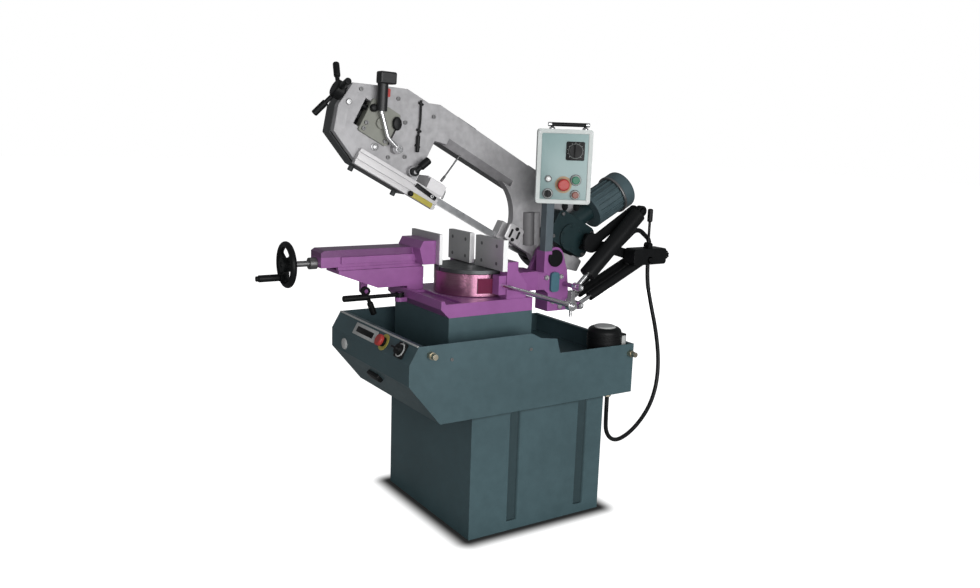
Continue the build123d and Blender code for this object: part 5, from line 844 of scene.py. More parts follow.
class Shape:
    """Mesh of one piece, gathered from simple forms."""

    def __init__(self):
        self.mesh = bmesh.new()

    def skin(self, rings, loop=False):
        """Skin over rings of points, with end faces unless the rings form a loop."""
        rows = [[self.mesh.verts.new(point) for point in ring] for ring in rings]
        pairs = list(zip(rows, rows[1:]))
        if loop:
            pairs.append((rows[-1], rows[0]))
        else:
            self.mesh.faces.new(rows[0])
            self.mesh.faces.new(rows[-1])
        for low, high in pairs:
            for quad in zip(low, low[1:] + low[:1], high[1:] + high[:1], high):
                self.mesh.faces.new(quad)
        return self

    def lathe(self, place, profile, sides=40, loop=False):
        """Turned form from (radius, height) steps about the place's own Z."""
        rings = []
        for radius, height in profile:
            rings.append([place @ (point + UP * height) for point in circle(radius, sides)])
        return self.skin(rings, loop)

    def plate(self, place, wide, high, corner, thick, edge):
        """Plate with rounded corners and softened upper edges, standing on the place's XY plane."""
        ease = 0.3 * edge
        rings = []
        for drawn_in, level in ((0.0, 0.0), (0.0, thick - edge), (ease, thick - ease), (edge, thick)):
            arc = max(corner - drawn_in, edge * 0.1)
            points = rounded_rectangle(wide - 2 * drawn_in, high - 2 * drawn_in, arc)
            rings.append([place @ (point + UP * level) for point in points])
        return self.skin(rings)

    def tube(self, points, radius, sides=20):
        """Round tube along points, one radius or one for each point."""
        radii = radius if isinstance(radius, (list, tuple)) else [radius] * len(points)
        rings = []
        turn = Quaternion()
        heading = UP
        for index, point in enumerate(points):
            ahead = points[min(index + 1, len(points) - 1)] - points[max(index - 1, 0)]
            turn = heading.rotation_difference(ahead.normalized()) @ turn
            heading = ahead.normalized()
            rings.append([point + turn @ spot for spot in circle(radii[index], sides)])
        return self.skin(rings)

    def piece(self, name, body, finish, slot, replaces=()):
        """Close the mesh and hand it over as a piece that rides on a body."""
        bmesh.ops.recalc_face_normals(self.mesh, faces=self.mesh.faces)
        data = bpy.data.meshes.new(name)
        self.mesh.to_mesh(data)
        self.mesh.free()
        return hand_over(name, data, body, finish, replaces)


def hand_over(name, data, body, finish, replaces=()):
    """Object for a finished mesh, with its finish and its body."""
    data.shade_smooth()
    data.set_sharp_from_angle(angle=SHARP)
    data.materials.clear()
    data.materials.append(material(finish))
    piece = bpy.data.objects.new(name, data)
    bpy.context.scene.collection.objects.link(piece)
    if body:
        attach(piece, body)
    if replaces:
        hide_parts(*replaces)
    return piece


def turned_piece(name, body, place, profile, finish, slot, sides=40, loop=False):
    """One turned form as a piece."""
    return Shape().lathe(place, profile, sides, loop).piece(name, body, finish, slot)


def plate_piece(name, body, place, size, finish, slot, corner, edge):
    """One plate as a piece; its size is width, height and thickness."""
    wide, high, thick = size
    return Shape().plate(place, wide, high, corner, thick, edge).piece(name, body, finish, slot)


def washer(inner, outer, thick, narrowing, drop):
    """Profile of a ring whose upper outer edge is chamfered."""
    return ((inner, 0.0), (outer, 0.0), (outer, thick - drop), (outer - narrowing, thick), (inner, thick))


def pointing(point, direction):
    """Place at a point whose Z axis looks along a direction."""
    return Matrix.Translation(point) @ UP.rotation_difference(direction).to_matrix().to_4x4()


def standing(point, across, up, facing):
    """Place at a point whose X, Y and Z axes are these directions."""
    return Matrix.Translation(point) @ Matrix((across, up, facing)).transposed().to_4x4()


def on_bow(x, along, up):
    """Point of the model for a place on the level bow, in millimetres."""
    return BOW @ Vector((x * MM, along * MM, up * MM))


def bow_face(along, up, x=BOW_SIDE):
    """Place on the bow's outer side, looking out of it, with Y up the bow, in millimetres."""
    return BOW @ standing((x * MM, along * MM, up * MM), REARWARD, UP, ACROSS)


def box_face(across, up, out=0.0):
    """Place on the control box's face, looking out of it, with Y up."""
    facing = Vector(JOINTS["dial_turn"]["axis"])
    side = UP.cross(facing)
    foot = Vector(JOINTS["dial_turn"]["pos_m"]) - side * BOX_DIAL[0] - UP * BOX_DIAL[1]
    return standing(foot + side * across + UP * up + facing * out, side, UP, facing)


def console_face(x, up=0.0, out=0.0):
    """Place on the console's sloping face, looking out of it, with Y up the slope."""
    facing = Vector(JOINTS["main_switch_turn"]["axis"]).normalized()
    rise = facing.cross(ACROSS)
    switch = Vector(JOINTS["main_switch_turn"]["pos_m"])
    return standing(Vector((x, *switch.yz)) + rise * up + facing * out, ACROSS, rise, facing)


def tree_with_inputs(name, inputs):
    """Empty geometry tree with named inputs; gives the wrapped tree, its input wires and its sockets."""
    group = bpy.data.node_groups.new(name, "GeometryNodeTree")
    sockets = {}
    for label, kind in (("Geometry", "NodeSocketGeometry"), *inputs):
        sockets[label] = group.interface.new_socket(label, in_out="INPUT", socket_type=kind)
    group.interface.new_socket("Geometry", in_out="OUTPUT", socket_type="NodeSocketGeometry")
    tree = NodeTree(group)
    entry = group.nodes.new("NodeGroupInput")
    wires = {label: Wire(tree, entry.outputs[label]) for label in sockets}
    return tree, wires, sockets


def close_tree(tree, instances, wires):
    """Realize the instances, give them their material and end the tree."""
    real = tree.add("GeometryNodeRealizeInstances", None, {"Geometry": instances})
    done = tree.add("GeometryNodeSetMaterial", None, {"Geometry": real, "Material": wires["Material"]})
    exit_node = tree.tree.nodes.new("NodeGroupOutput")
    tree.feed(exit_node.inputs["Geometry"], done)
    return tree.tree


def screw_tree():
    """Heads of screws or bolts, one on each point, looking along its facing."""
    inputs = (
        ("Sides", "NodeSocketInt"),
        ("Radius", "NodeSocketFloat"),
        ("Height", "NodeSocketFloat"),
        ("Recess", "NodeSocketFloat"),
        ("Depth", "NodeSocketFloat"),
        ("Material", "NodeSocketMaterial"),
    )
    tree, wires, sockets = tree_with_inputs("screw_heads", inputs)
    size = {"Vertices": wires["Sides"], "Radius": wires["Radius"], "Depth": wires["Height"]}
    head = tree.add("GeometryNodeMeshCylinder", None, size)
    up = tree.add("ShaderNodeSeparateXYZ", None, {0: tree.add("GeometryNodeInputNormal")}, "Z")
    crown = {"Mesh": head, "Selection": up > 0.9, "Offset Scale": 0.0}
    lip = tree.add("GeometryNodeExtrudeMesh", None, crown)
    chosen = Wire(tree, lip.socket.node.outputs["Top"])
    shrink = {"Geometry": lip, "Selection": chosen, "Scale": wires["Recess"]}
    inner = tree.add("GeometryNodeScaleElements", None, shrink)
    sink = {"Mesh": inner, "Selection": chosen, "Offset Scale": 0.0 - wires["Depth"]}
    cup = tree.add("GeometryNodeExtrudeMesh", None, sink)
    lift = tree.add("ShaderNodeCombineXYZ", None, {"Z": wires["Height"] * 0.5})
    seated = tree.add("GeometryNodeTransform", None, {"Geometry": cup, "Translation": lift})
    facing = tree.add("GeometryNodeInputNamedAttribute", {"data_type": "FLOAT_VECTOR"}, {"Name": "facing"})
    turn = tree.add("FunctionNodeAlignRotationToVector", {"axis": "Z"}, {"Vector": facing})
    set_out = {"Points": wires["Geometry"], "Instance": seated, "Rotation": turn}
    instances = tree.add("GeometryNodeInstanceOnPoints", None, set_out)
    return close_tree(tree, instances, wires), sockets


def tick_tree():
    """Tick marks round an arc, every fifth one longer."""
    inputs = (
        ("Count", "NodeSocketInt"),
        ("Radius", "NodeSocketFloat"),
        ("Start", "NodeSocketFloat"),
        ("Step", "NodeSocketFloat"),
        ("Length", "NodeSocketFloat"),
        ("Width", "NodeSocketFloat"),
        ("Material", "NodeSocketMaterial"),
    )
    tree, wires, sockets = tree_with_inputs("tick_marks", inputs)
    index = tree.add("GeometryNodeInputIndex")
    angle = wires["Start"] + wires["Step"] * index
    across = wires["Radius"] * angle.math("COSINE", angle)
    up = wires["Radius"] * angle.math("SINE", angle)
    spot = tree.add("ShaderNodeCombineXYZ", None, {"X": across, "Y": up})
    points = tree.add("GeometryNodePoints", None, {"Count": wires["Count"], "Position": spot})
    thick = wires["Width"] * 0.4
    size = tree.add("ShaderNodeCombineXYZ", None, {"X": wires["Length"], "Y": wires["Width"], "Z": thick})
    mark = tree.add("GeometryNodeMeshCube", None, {"Size": size})
    every_fifth = (index % 5.0) < 0.5
    stretch = tree.add("ShaderNodeCombineXYZ", None, {"X": 1.0 + 0.7 * every_fifth, "Y": 1.0, "Z": 1.0})
    euler = tree.add("ShaderNodeCombineXYZ", None, {"Z": angle})
    turn = tree.add("FunctionNodeEulerToRotation", None, {0: euler})
    set_out = {"Points": points, "Instance": mark, "Rotation": turn, "Scale": stretch}
    instances = tree.add("GeometryNodeInstanceOnPoints", None, set_out)
    return close_tree(tree, instances, wires), sockets


def grown(name, points, tree, sockets, values):
    """Plain mesh that a geometry tree grows on points."""
    seed = bpy.data.meshes.new(name)
    seed.from_pydata([point for point, facing in points], [], [])
    facings = seed.attributes.new("facing", "FLOAT_VECTOR", "POINT")
    for index, (point, facing) in enumerate(points):
        facings.data[index].vector = facing
    holder = bpy.data.objects.new(name + "_seed", seed)
    bpy.context.scene.collection.objects.link(holder)
    modifier = holder.modifiers.new("grow", "NODES")
    modifier.node_group = tree
    for label, value in values.items():
        modifier[sockets[label].identifier] = value
    evaluated = holder.evaluated_get(bpy.context.evaluated_depsgraph_get())
    data = bpy.data.meshes.new_from_object(evaluated)
    holder.modifiers.clear()
    bpy.data.objects.remove(holder)
    data.name = name
    return data


def screw_set(name, body, places, diameter, height, sides=20, finish="steel", recess=0.55):
    """Screw or bolt heads on one body, at (point, facing) places."""
    tree, sockets = screw_tree()
    values = {
        "Sides": sides,
        "Radius": diameter / 2,
        "Height": height,
        "Recess": recess,
        "Depth": height * 0.6,
        "Material": material(finish),
    }
    return hand_over(name, grown(name, places, tree, sockets, values), body, finish)


def on_places(places):
    """(point, facing) pairs for heads on places, along their Z axes."""
    return [(place.translation, place.to_3x3() @ UP) for place in places]


def tick_marks(name, body, place, count, radius, start, step, length, width):
    """Arc of white tick marks on a place's XY plane."""
    finish = "white_lens"
    tree, sockets = tick_tree()
    values = {
        "Count": count,
        "Radius": radius,
        "Start": start,
        "Step": step,
        "Length": length,
        "Width": width,
        "Material": material(finish),
    }
    data = grown(name, [((0.0, 0.0, 0.0), UP)], tree, sockets, values)
    data.transform(place)
    return hand_over(name, data, body, finish)


class SAW_OT_finishes(bpy.types.Operator):
    """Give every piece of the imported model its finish"""

    bl_idname = "saw.finishes"
    bl_label = "Finishes"

    def execute(self, context):
        for subpart in frame["record"]["subparts"]:
            node = frame["nodes"][subpart["node"]]
            finish = OWN_FINISH.get(node.name, subpart["material_slot"])
            node.data.materials.clear()
            node.data.materials.append(material(finish))
        return {"FINISHED"}


class SAW_OT_conduit(bpy.types.Operator):
    """Hang the flexible conduit between its two glands"""

    bl_idname = "saw.conduit"
    bl_label = "Conduit"

    def execute(self, context):
        diameter = context.scene.saw_sizes.conduit
        curve = bpy.data.curves.new("conduit_route", "CURVE")
        curve.dimensions = "3D"
        spline = curve.splines.new("NURBS")
        spline.points.add(len(CONDUIT_ROUTE) - 1)
        for point, place in zip(spline.points, CONDUIT_ROUTE):
            point.co = (*place, 1.0)
        spline.order_u = 3
        spline.use_endpoint_u = True
        spline.resolution_u = 8
        guide = bpy.data.objects.new("conduit_route", curve)
        context.scene.collection.objects.link(guide)
        evaluated = guide.evaluated_get(context.evaluated_depsgraph_get())
        line = [vertex.co.copy() for vertex in bpy.data.meshes.new_from_object(evaluated).vertices]
        bpy.data.objects.remove(guide)
        sheath = Shape().tube(line, diameter / 2)
        hose = sheath.piece("conduit", None, "conduit", "conduit", ("conduit_hose",))
        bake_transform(hose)
        return {"FINISHED"}


class SAW_OT_control_panel(bpy.types.Operator):
    """Dress the control box: panel film, dial plate and ticks, lamp lens, stop disc and bezels"""

    bl_idname = "saw.control_panel"
    bl_label = "Control panel"

    def execute(self, context):
        play = 0.002
        seat = HAIR - BOX_RECESS
        film = (2 * (BOX_HALF - BOX_FRAME) - play, BOX_HIGH - 2 * BOX_FRAME - play, 0.0012)
        middle = box_face(0.0, BOX_HIGH / 2, seat)
        plate_piece(
            "panel_film", "swivel", middle, film, "panel_film", "box_paint", corner=0.004, edge=0.0004
        )
        face = seat + film[2]
        plate = (0.064, 0.064, 0.0025)
        dial = box_face(*BOX_DIAL, face)
        plate_piece(
            "dial_plate", "swivel", dial, plate, "black_plastic", "black_plastic", corner=0.005, edge=0.0008
        )
        tick_marks(
            "dial_ticks", "swivel", box_face(*BOX_DIAL, face + plate[2] + HAIR), count=11, radius=0.0275,
            start=math.radians(-45.0), step=math.radians(27.0), length=0.0022, width=0.0009,
        )
        lens = ((0.0085, 0.0), (0.0085, 0.004), (0.0075, 0.0065), (0.004, 0.008), (0.001, 0.0085))
        turned_piece("lamp_lens", "swivel", box_face(*BOX_LAMP, face), lens, "white_lens", "box_paint")
        disc = washer(0.0165, 0.0290, thick=0.0011, narrowing=0.0004, drop=0.0003)
        stop = box_face(*BOX_STOP, face)
        turned_piece("stop_disc", "swivel", stop, disc, "tan_plastic", "box_paint", sides=56, loop=True)
        bezels = Shape()
        for spot, radius in BOX_BEZELS:
            ring = washer(radius, radius + 0.003, thick=0.0040, narrowing=0.0015, drop=0.0015)
            bezels.lathe(box_face(*spot, face), ring, loop=True)
        bezels.piece("button_bezels", "swivel", "dull_steel", "chrome")
        return {"FINISHED"}


class SAW_OT_bow_fittings(bpy.types.Operator):
    """Fit the knobs, studs, air rod, coolant pipe, housing ribs, guide pad and cowl ring on the bow"""

    bl_idname = "saw.bow_fittings"
    bl_label = "Bow fittings"

    def execute(self, context):
        self.knobs()
        self.rod()
        self.pipe()
        self.rear_housing()
        self.cowl_ring()
        return {"FINISHED"}

    def knobs(self):
        """Clamp knobs on the tension block, one of them oval, and studs on the nose."""
        upright_oval = Matrix.Rotation(RAISE, 4, "Z") @ Matrix.Diagonal((1.0, 1.4, 1.0, 1.0))
        round_knob = ((0.0125, 0.0), (0.0125, 0.010), (0.0115, 0.0135), (0.0085, 0.0155), (0.004, 0.0162))
        oval_knob = ((0.013, 0.0), (0.0155, 0.004), (0.0155, 0.010), (0.013, 0.0135), (0.007, 0.015))
        pair = Shape().lathe(bow_face(*ROUND_KNOB_AT, BLOCK_SIDE), round_knob)
        pair.lathe(bow_face(*OVAL_KNOB_AT, BLOCK_SIDE) @ upright_oval, oval_knob)
        pair.piece("tension_knobs", "tension", "black_plastic", "black_plastic")
        flange = ((0.0125, 0.0), (0.0125, 0.004))
        stepped = (*flange, (0.0095, 0.005), (0.0095, 0.011), (0.0075, 0.0125), (0.003, 0.013))
        domed = ((0.010, 0.0), (0.010, 0.005), (0.008, 0.007), (0.003, 0.0075))
        studs = Shape().lathe(bow_face(*STEPPED_STUD_AT), stepped)
        studs.lathe(bow_face(*DOMED_STUD_AT, NOSE_SIDE), domed)
        studs.piece("nose_studs", "bow", "steel", "chrome")

    def rod(self):
        """Black air rod down the nose, with its thicker lower end and three clips."""
        thin = 0.0036
        thick = 0.0068
        strut = Shape().tube([on_bow(ROD_X, *spot) for spot in ROD_UPPER], thin)
        strut.tube([on_bow(ROD_X, *spot) for spot in ROD_LOWER], (thin, thick, thick, thick, 0.0050))
        for clip in ROD_CLIPS:
            strut.plate(bow_face(*clip), 0.018, 0.008, corner=0.003, thick=0.010, edge=0.0015)
        strut.piece("air_rod", "bow", "black_plastic", "black_plastic")

    def pipe(self):
        """Thin coolant pipe from the beam towards the band, with a thicker end."""
        bend = [on_bow(PIPE_X, *spot) for spot in PIPE_BEND]
        straight = [on_bow(PIPE_X, *spot) for spot in PIPE_END]
        pipe = Shape().tube(bend + straight, 0.0030, sides=16)
        end = pointing(straight[-1], straight[0] - straight[-1])
        pipe.lathe(end, ((0.0046, 0.0), (0.0046, 0.020), (0.0036, 0.023)), sides=12)
        pipe.piece("nozzle_pipe", "bow", "dull_steel", "steel")

    def rear_housing(self):
        """Half-round ribs between the leg and the gearbox, and the slotted pad on the leg."""
        # The inner rib carries painted shade, the outer rib the bow's own finish
        for name, finish, shift, radius in (
            ("housing_rib", "dark_casting", (0.0, 0.0), 0.021),
            ("housing_edge", "cast_aluminium", RIB_SHIFT, 0.018),
        ):
            line = [on_bow(RIB_X, along + shift[0], up + shift[1]) for along, up in RIB_ROUTE]
            Shape().tube(line, radius, sides=32).piece(name, "bow", finish, "cast_aluminium")
        pad = (0.070, 0.060, PAD_THICK * MM)
        seat = bow_face(*PAD_AT)
        plate_piece("guide_pad", "bow", seat, pad, "pale_metal", "pale_metal", corner=0.010, edge=0.002)
        pad_side = BOW_SIDE + PAD_THICK
        slots = Shape()
        for along, up, high in PAD_SLOTS:
            slots.plate(bow_face(along, up, pad_side), 0.009, high, corner=0.0044, thick=0.0024, edge=0.0008)
        stud = ((0.0065, 0.0), (0.0065, 0.005), (0.0052, 0.0062), (0.002, 0.0064))
        for spot in PAD_STUDS:
            slots.lathe(bow_face(*spot, pad_side), stud, sides=24)
        slots.piece("guide_slots", "bow", "black_plastic", "black_plastic")

    def cowl_ring(self):
        """Bright ring between the motor and its fan cowl."""
        lean = BOW.to_3x3() @ Vector((0.0, math.cos(MOTOR_LEAN), math.sin(MOTOR_LEAN)))
        seat = pointing(on_bow(*MOTOR_AT) + lean * (MOTOR_END * MM), lean)
        foot = ((0.0660, -0.004), (0.0728, -0.004))
        ring = (*foot, (0.0736, -0.002), (0.0736, 0.002), (0.0728, 0.004), (0.0721, 0.004))
        turned_piece("cowl_ring", "bow", seat, ring, "dull_steel", "steel", sides=64, loop=True)


class SAW_OT_guide_fittings(bpy.types.Operator):
    """Fit the guard, its clamp strip and the coolant tip on the guide bar"""

    bl_idname = "saw.guide_fittings"
    bl_label = "Guide fittings"

    def execute(self, context):
        guard = (0.092, 0.017, 0.003)
        seat = bow_face(*GUARD_AT, GUIDE_SIDE)
        plate_piece(
            "band_guard", "guide", seat, guard, "yellow_plastic", "pale_metal", corner=0.004, edge=0.0012
        )
        strip = bow_face(*CLAMP_AT, GUIDE_SIDE) @ Matrix.Rotation(CLAMP_LEAN, 4, "Z")
        clamp = Shape().plate(strip, 0.088, 0.014, corner=0.003, thick=CLAMP_THICK * MM, edge=0.0015)
        knob = ((0.0085, 0.0), (0.0085, 0.011), (0.0065, 0.014), (0.002, 0.0145))
        clamp.lathe(bow_face(*CLAMP_KNOB_AT, GUIDE_SIDE), knob)
        clamp.piece("guard_clamp", "guide", "black_plastic", "black_plastic")
        cup = ((0.0022, 0.0), (0.0060, 0.0), (0.0060, 0.0008), (0.0036, 0.0010))
        eye = bow_face(*CLAMP_EYE_AT, GUIDE_SIDE + CLAMP_THICK)
        turned_piece("clamp_eye", "guide", eye, cup, "steel", "steel", sides=24, loop=True)
        radii = (0.0032, 0.0032, 0.0036, 0.0048, 0.0034)
        tip = Shape().tube([on_bow(PIPE_X, *spot) for spot in TIP_ROUTE], radii, sides=16)
        tip.piece("coolant_tip", "guide", "dull_steel", "steel")
        return {"FINISHED"}


class SAW_OT_console(bpy.types.Operator):
    """Dress the console: bare plate, stop disc, switch ring and ticks, a pale bead as painted highlight on its top
    edge, cap and latch
    """

    bl_idname = "saw.console"
    bl_label = "Console"

    def execute(self, context):
        self.bare_plate()
        self.controls()
        self.nose()
        return {"FINISHED"}

    def bare_plate(self):
        """Bare plate with a dark inset and two rivets."""
        x, up = CONSOLE_PLATE
        border = (0.170, 0.042, 0.0018)
        seat = console_face(x, up)
        plate_piece("plate_frame", "base", seat, border, "grey_plate", "box_paint", corner=0.004, edge=0.0007)
        thick = border[2]
        inset = (0.126, 0.020, 0.0008)
        top = console_face(x, up, thick + HAIR / 2)
        plate_piece(
            "plate_inset", "base", top, inset, "black_plastic", "black_plastic", corner=0.002, edge=0.0003
        )
        rivets = on_places(console_face(x + aside, up, thick) for aside in (-0.077, 0.077))
        screw_set("plate_rivets", "base", rivets, diameter=0.006, height=0.0012, sides=16, recess=0.7)

    def controls(self):
        """Disc of the emergency stop, and ring and ticks of the main switch."""
        disc = washer(0.0163, 0.0290, thick=0.0016, narrowing=0.0006, drop=0.0006)
        stop = console_face(ESTOP_X)
        turned_piece("estop_disc", "base", stop, disc, "yellow_plastic", "red_plastic", sides=56, loop=True)
        ring = washer(0.0190, 0.0230, thick=0.0022, narrowing=0.0012, drop=0.0006)
        seat = console_face(SWITCH_X, 0.0, SWITCH_PLATE)
        turned_piece("switch_ring", "base", seat, ring, "grey_plate", "steel", sides=48, loop=True)
        tick_marks(
            "switch_ticks", "base", console_face(SWITCH_X, 0.0, SWITCH_PLATE + HAIR), count=7, radius=0.0243,
            start=math.radians(-30.0), step=math.radians(20.0), length=0.0022, width=0.0010,
        )

    def nose(self):
        """Pale bead along the console's top edge as a painted highlight, cap on its front and latch under it."""
        half = TRAY_HIGH.x - 0.004
        bead = [Vector((x, *CONSOLE_TOP)) for x in (-half, 0.0, half)]
        # Pale bead: painted highlight of the top edge
        Shape().tube(bead, 0.0032, sides=12).piece("console_trim", "base", "grey_plate", "box_paint")
        cap = ((0.0200, 0.0), (0.0200, 0.003), (0.0185, 0.0055), (0.012, 0.0075), (0.004, 0.0080))
        front = pointing(NOSE_CAP_AT, -REARWARD)
        turned_piece("nose_cap", "base", front, cap, "grey_plate", "box_paint", sides=48)
        under = Vector(LATCH_FACING).normalized()
        seat = standing(LATCH_AT, ACROSS, under.cross(ACROSS), under)
        latch = (0.080, 0.030, 0.014)
        plate_piece(
            "nose_latch", "base", seat, latch, "black_plastic", "black_plastic", corner=0.006, edge=0.004
        )


class SAW_OT_small_fittings(bpy.types.Operator):
    """Fit the pump's cap, rings and plate, the box's glands and ferrules and the mitre scale"""

    bl_idname = "saw.small_fittings"
    bl_label = "Small fittings"

    def execute(self, context):
        self.pump()
        self.box_fittings()
        tick_marks(
            "mitre_scale", "base", Matrix.Translation(SWIVEL + UP * HAIR), count=19, radius=DRUM_R + 0.014,
            start=math.radians(-120.0), step=math.radians(5.0), length=0.006, width=0.0010,
        )
        return {"FINISHED"}

    def pump(self):
        """Pale cap, cooling rings and a bare plate on the coolant pump."""
        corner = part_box("coolant_pump")[1]
        top = Vector((*PUMP_AT, corner.z))
        cap = ((0.040, -0.006), (0.040, 0.002), (0.037, 0.005), (0.018, 0.007), (0.004, 0.0072))
        turned_piece("pump_cap", "base", pointing(top, UP), cap, "grey_plate", "box_paint", sides=48)
        ring = ((0.0605, -0.002), (0.0638, -0.0015), (0.0638, 0.0015), (0.0605, 0.002))
        rings = Shape()
        for drop in (0.030, 0.042, 0.054, 0.066):
            rings.lathe(pointing(top - UP * drop, UP), ring, sides=56, loop=True)
        rings.piece("pump_rings", "base", "black_paint", "black_paint")
        spot = (PUMP_AT[0] + 0.043, corner.y - 0.012, corner.z - 0.052)
        seat = standing(spot, REARWARD, UP, ACROSS)
        plate = (0.018, 0.044, 0.0016)
        plate_piece("pump_plate", "base", seat, plate, "grey_plate", "box_paint", corner=0.003, edge=0.0006)

    def box_fittings(self):
        """Cable glands under the control box and ferrules on its handle."""
        middle = -BOX_DEEP / 2
        flange = ((0.011, 0.0), (0.011, 0.006))
        gland = (*flange, (0.0125, 0.007), (0.0125, 0.014), (0.009, 0.022), (0.0055, 0.026))
        glands = Shape()
        for across in BOX_GLANDS:
            glands.lathe(pointing(box_face(across, 0.0, middle).translation, -UP), gland, sides=6)
        glands.piece("box_glands", "swivel", "black_plastic", "black_plastic")
        foot = washer(0.0062, 0.0105, thick=0.0062, narrowing=0.0020, drop=0.0032)
        ferrules = Shape()
        for across in BOX_HANDLE_FEET:
            seat = pointing(box_face(across, BOX_HIGH, middle).translation, UP)
            ferrules.lathe(seat, foot, sides=32, loop=True)
        side = box_face(0.0, 0.0).to_3x3() @ ACROSS
        end = ((0.0074, -0.010), (0.0074, 0.001), (0.006, 0.003), (0.002, 0.0034))
        for across, way in BOX_HANDLE_ENDS:
            spot = box_face(across, BOX_HIGH + BOX_HANDLE_RISE, middle).translation
            ferrules.lathe(pointing(spot, side * way), end, sides=32)
        ferrules.piece("handle_ferrules", "swivel", "chrome", "chrome")


class SAW_OT_screws(bpy.types.Operator):
    """Set the heads of screws, bolts and nuts on bow, control box, hinge bracket, tray and jaws"""

    bl_idname = "saw.screws"
    bl_label = "Screws"

    def execute(self, context):
        sizes = context.scene.saw_sizes
        for name, body, side, spots, height in (
            ("nose_screws", "bow", BOW_SIDE, NOSE_SCREWS, 0.006),
            ("gearbox_screws", "bow", GEARBOX_SIDE, GEARBOX_SCREWS, 0.007),
            ("keeper_screws", "tension", BLOCK_SIDE, KEEPER_SCREWS, 0.006),
        ):
            places = [(on_bow(side, *spot), ACROSS) for spot in spots]
            screw_set(name, body, places, sizes.screw, height, finish="dull_steel")
        inset = BOX_FRAME / 2
        low = inset + 0.004
        half = BOX_HALF - inset
        corners = [box_face(across, up) for across in (-half, half) for up in (low, BOX_HIGH - low)]
        screw_set("box_screws", "swivel", on_places(corners), diameter=0.007, height=0.0018, recess=0.6)
        for name, body, x, spots, diameter, height, sides, finish, recess in (
            ("bracket_bolts", "swivel", BRACKET_SIDE, BRACKET_BOLTS, sizes.bolt, 0.009, 6, "steel", 0.85),
            ("anchor_nuts", "swivel", PIN_END, ANCHOR_PINS, 0.024, 0.010, 6, "chrome", 0.75),
            ("tray_screws", "base", TRAY_HIGH.x, TRAY_SCREWS, 0.011, 0.003, 20, "dull_steel", 0.55),
        ):
            places = [(Vector((x, *spot)), ACROSS) for spot in spots]
            screw_set(name, body, places, diameter, height, sides, finish, recess)
        for name, body, face, facing, columns in (
            ("fixed_jaw_screws", "base", FIXED_FACE, -REARWARD, FIXED_JAW_COLUMNS),
            ("moving_jaw_screws", "vise", MOVING_FACE, REARWARD, MOVING_JAW_COLUMNS),
        ):
            places = [(Vector((x, face, z)), facing) for x in columns for z in JAW_ROWS]
            screw_set(
                name, body, places, sizes.screw, JAW_SCREW_HEIGHT, sides=24, finish="dull_steel", recess=0.5
            )
        return {"FINISHED"}


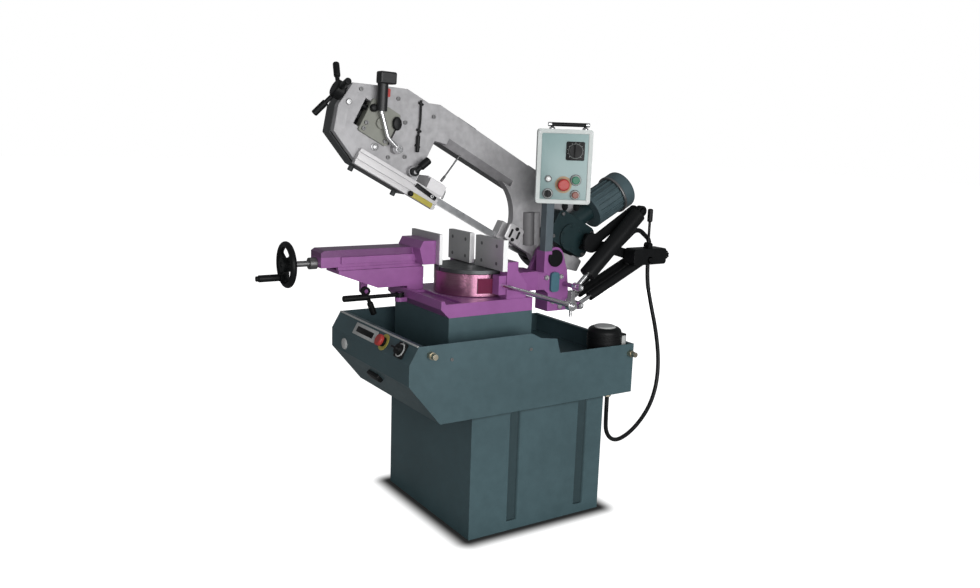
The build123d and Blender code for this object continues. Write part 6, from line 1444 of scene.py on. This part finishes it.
class SAW_OT_stage(bpy.types.Operator):
    """Set the pale floor, the studio light and the photograph's camera"""

    bl_idname = "saw.stage"
    bl_label = "Stage"

    def execute(self, context):
        scene = context.scene
        scene.view_settings.view_transform = "Standard"
        self.floor(scene)
        self.world(scene)
        self.lights(scene)
        self.camera(scene)
        return {"FINISHED"}

    def floor(self, scene):
        """Wide pale floor with the cabinet's contact shadow, white to the camera elsewhere."""
        data = bpy.data.meshes.new("floor")
        corners = [(x * FLOOR_REACH, y * FLOOR_REACH, 0.0) for x, y in ((-1, -1), (1, -1), (1, 1), (-1, 1))]
        data.from_pydata(corners, [], [(0, 1, 2, 3)])
        finish = Finish("floor_white")
        sides = zip(finish.axes(), CABINET_CORNER.xy)
        past = [(abs(spot) - half).largest(0.0) ** 2.0 for spot, half in sides]
        away = finish.step((past[0] + past[1]) ** 0.5, SHADOW_START, SHADOW_END)
        finish.surface(finish.mix(away, SHADOW, PALE_FLOOR), 0.9)
        glow = finish.mix(finish.camera_ray(), BLACK, finish.mix(away, SHADOW, WHITE))
        finish.feed(finish.shader.inputs["Emission Color"], glow)
        finish.shader.inputs["Emission Strength"].default_value = 1.0
        data.materials.append(finish.material)
        floor = bpy.data.objects.new("floor", data)
        scene.collection.objects.link(floor)

    def world(self, scene):
        """Even ambient light, white where the camera looks past the object."""
        world = bpy.data.worlds.new("studio")
        world.use_nodes = True
        scene.world = world
        tree = NodeTree(world.node_tree)
        background = world.node_tree.nodes["Background"]
        tree.feed(background.inputs["Color"], tree.mix(tree.camera_ray(), AMBIENT, WHITE))

    def lights(self, scene):
        """Soft lamps, of which the far one, behind the object, isn't seen in reflections."""
        for name, (place, wide, high, power) in LAMPS.items():
            data = bpy.data.lights.new(name, "AREA")
            data.shape = "RECTANGLE"
            data.size = wide
            data.size_y = high
            data.energy = power
            light = bpy.data.objects.new(name, data)
            light.visible_glossy = name != "far"
            turn = (Vector(place) - LIT_POINT).to_track_quat("Z", "Y")
            light.matrix_world = Matrix.Translation(place) @ turn.to_matrix().to_4x4()
            scene.collection.objects.link(light)

    def camera(self, scene):
        """Camera at the photograph's place and angle."""
        data = bpy.data.cameras.new("camera")
        data.lens = CAMERA_LENS
        data.sensor_fit = "HORIZONTAL"
        level = math.cos(CAMERA_RISE)
        back = Vector((math.sin(CAMERA_TURN) * level, -math.cos(CAMERA_TURN) * level, math.sin(CAMERA_RISE)))
        right = Vector((math.cos(CAMERA_TURN), math.sin(CAMERA_TURN), 0.0))
        camera = bpy.data.objects.new("camera", data)
        seat = standing(CAMERA_AT, right, back.cross(right), back)
        camera.matrix_world = seat @ Matrix.Rotation(CAMERA_ROLL, 4, "Z")
        scene.collection.objects.link(camera)
        scene.camera = camera


OPERATORS = (
    SAW_OT_finishes, SAW_OT_conduit, SAW_OT_control_panel, SAW_OT_bow_fittings, SAW_OT_guide_fittings,
    SAW_OT_console, SAW_OT_small_fittings, SAW_OT_screws, SAW_OT_stage,
)


class SAW_PT_dressing(bpy.types.Panel):
    """Sidebar panel with the saw's operators, colours and sizes"""

    bl_idname = "SAW_PT_dressing"
    bl_label = "Band saw"
    bl_space_type = "VIEW_3D"
    bl_region_type = "UI"
    bl_category = "Band saw"

    def draw(self, context):
        for operator in OPERATORS:
            self.layout.operator(operator.bl_idname)
        for group in (context.scene.saw_sizes, context.scene.saw_colours):
            for name in group.__annotations__:
                self.layout.prop(group, name)


CLASSES = (SawColours, SawSizes, *OPERATORS, SAW_PT_dressing)


def register():
    for cls in CLASSES:
        bpy.utils.register_class(cls)
    bpy.types.Scene.saw_colours = bpy.props.PointerProperty(type=SawColours)
    bpy.types.Scene.saw_sizes = bpy.props.PointerProperty(type=SawSizes)


def unregister():
    del bpy.types.Scene.saw_sizes
    del bpy.types.Scene.saw_colours
    for cls in reversed(CLASSES):
        bpy.utils.unregister_class(cls)


def main():
    register()
    bpy.ops.saw.finishes()
    bpy.ops.saw.conduit()
    bpy.ops.saw.control_panel()
    bpy.ops.saw.bow_fittings()
    bpy.ops.saw.guide_fittings()
    bpy.ops.saw.console()
    bpy.ops.saw.small_fittings()
    bpy.ops.saw.screws()
    bpy.ops.saw.stage()


if __name__ == "__main__":
    main()
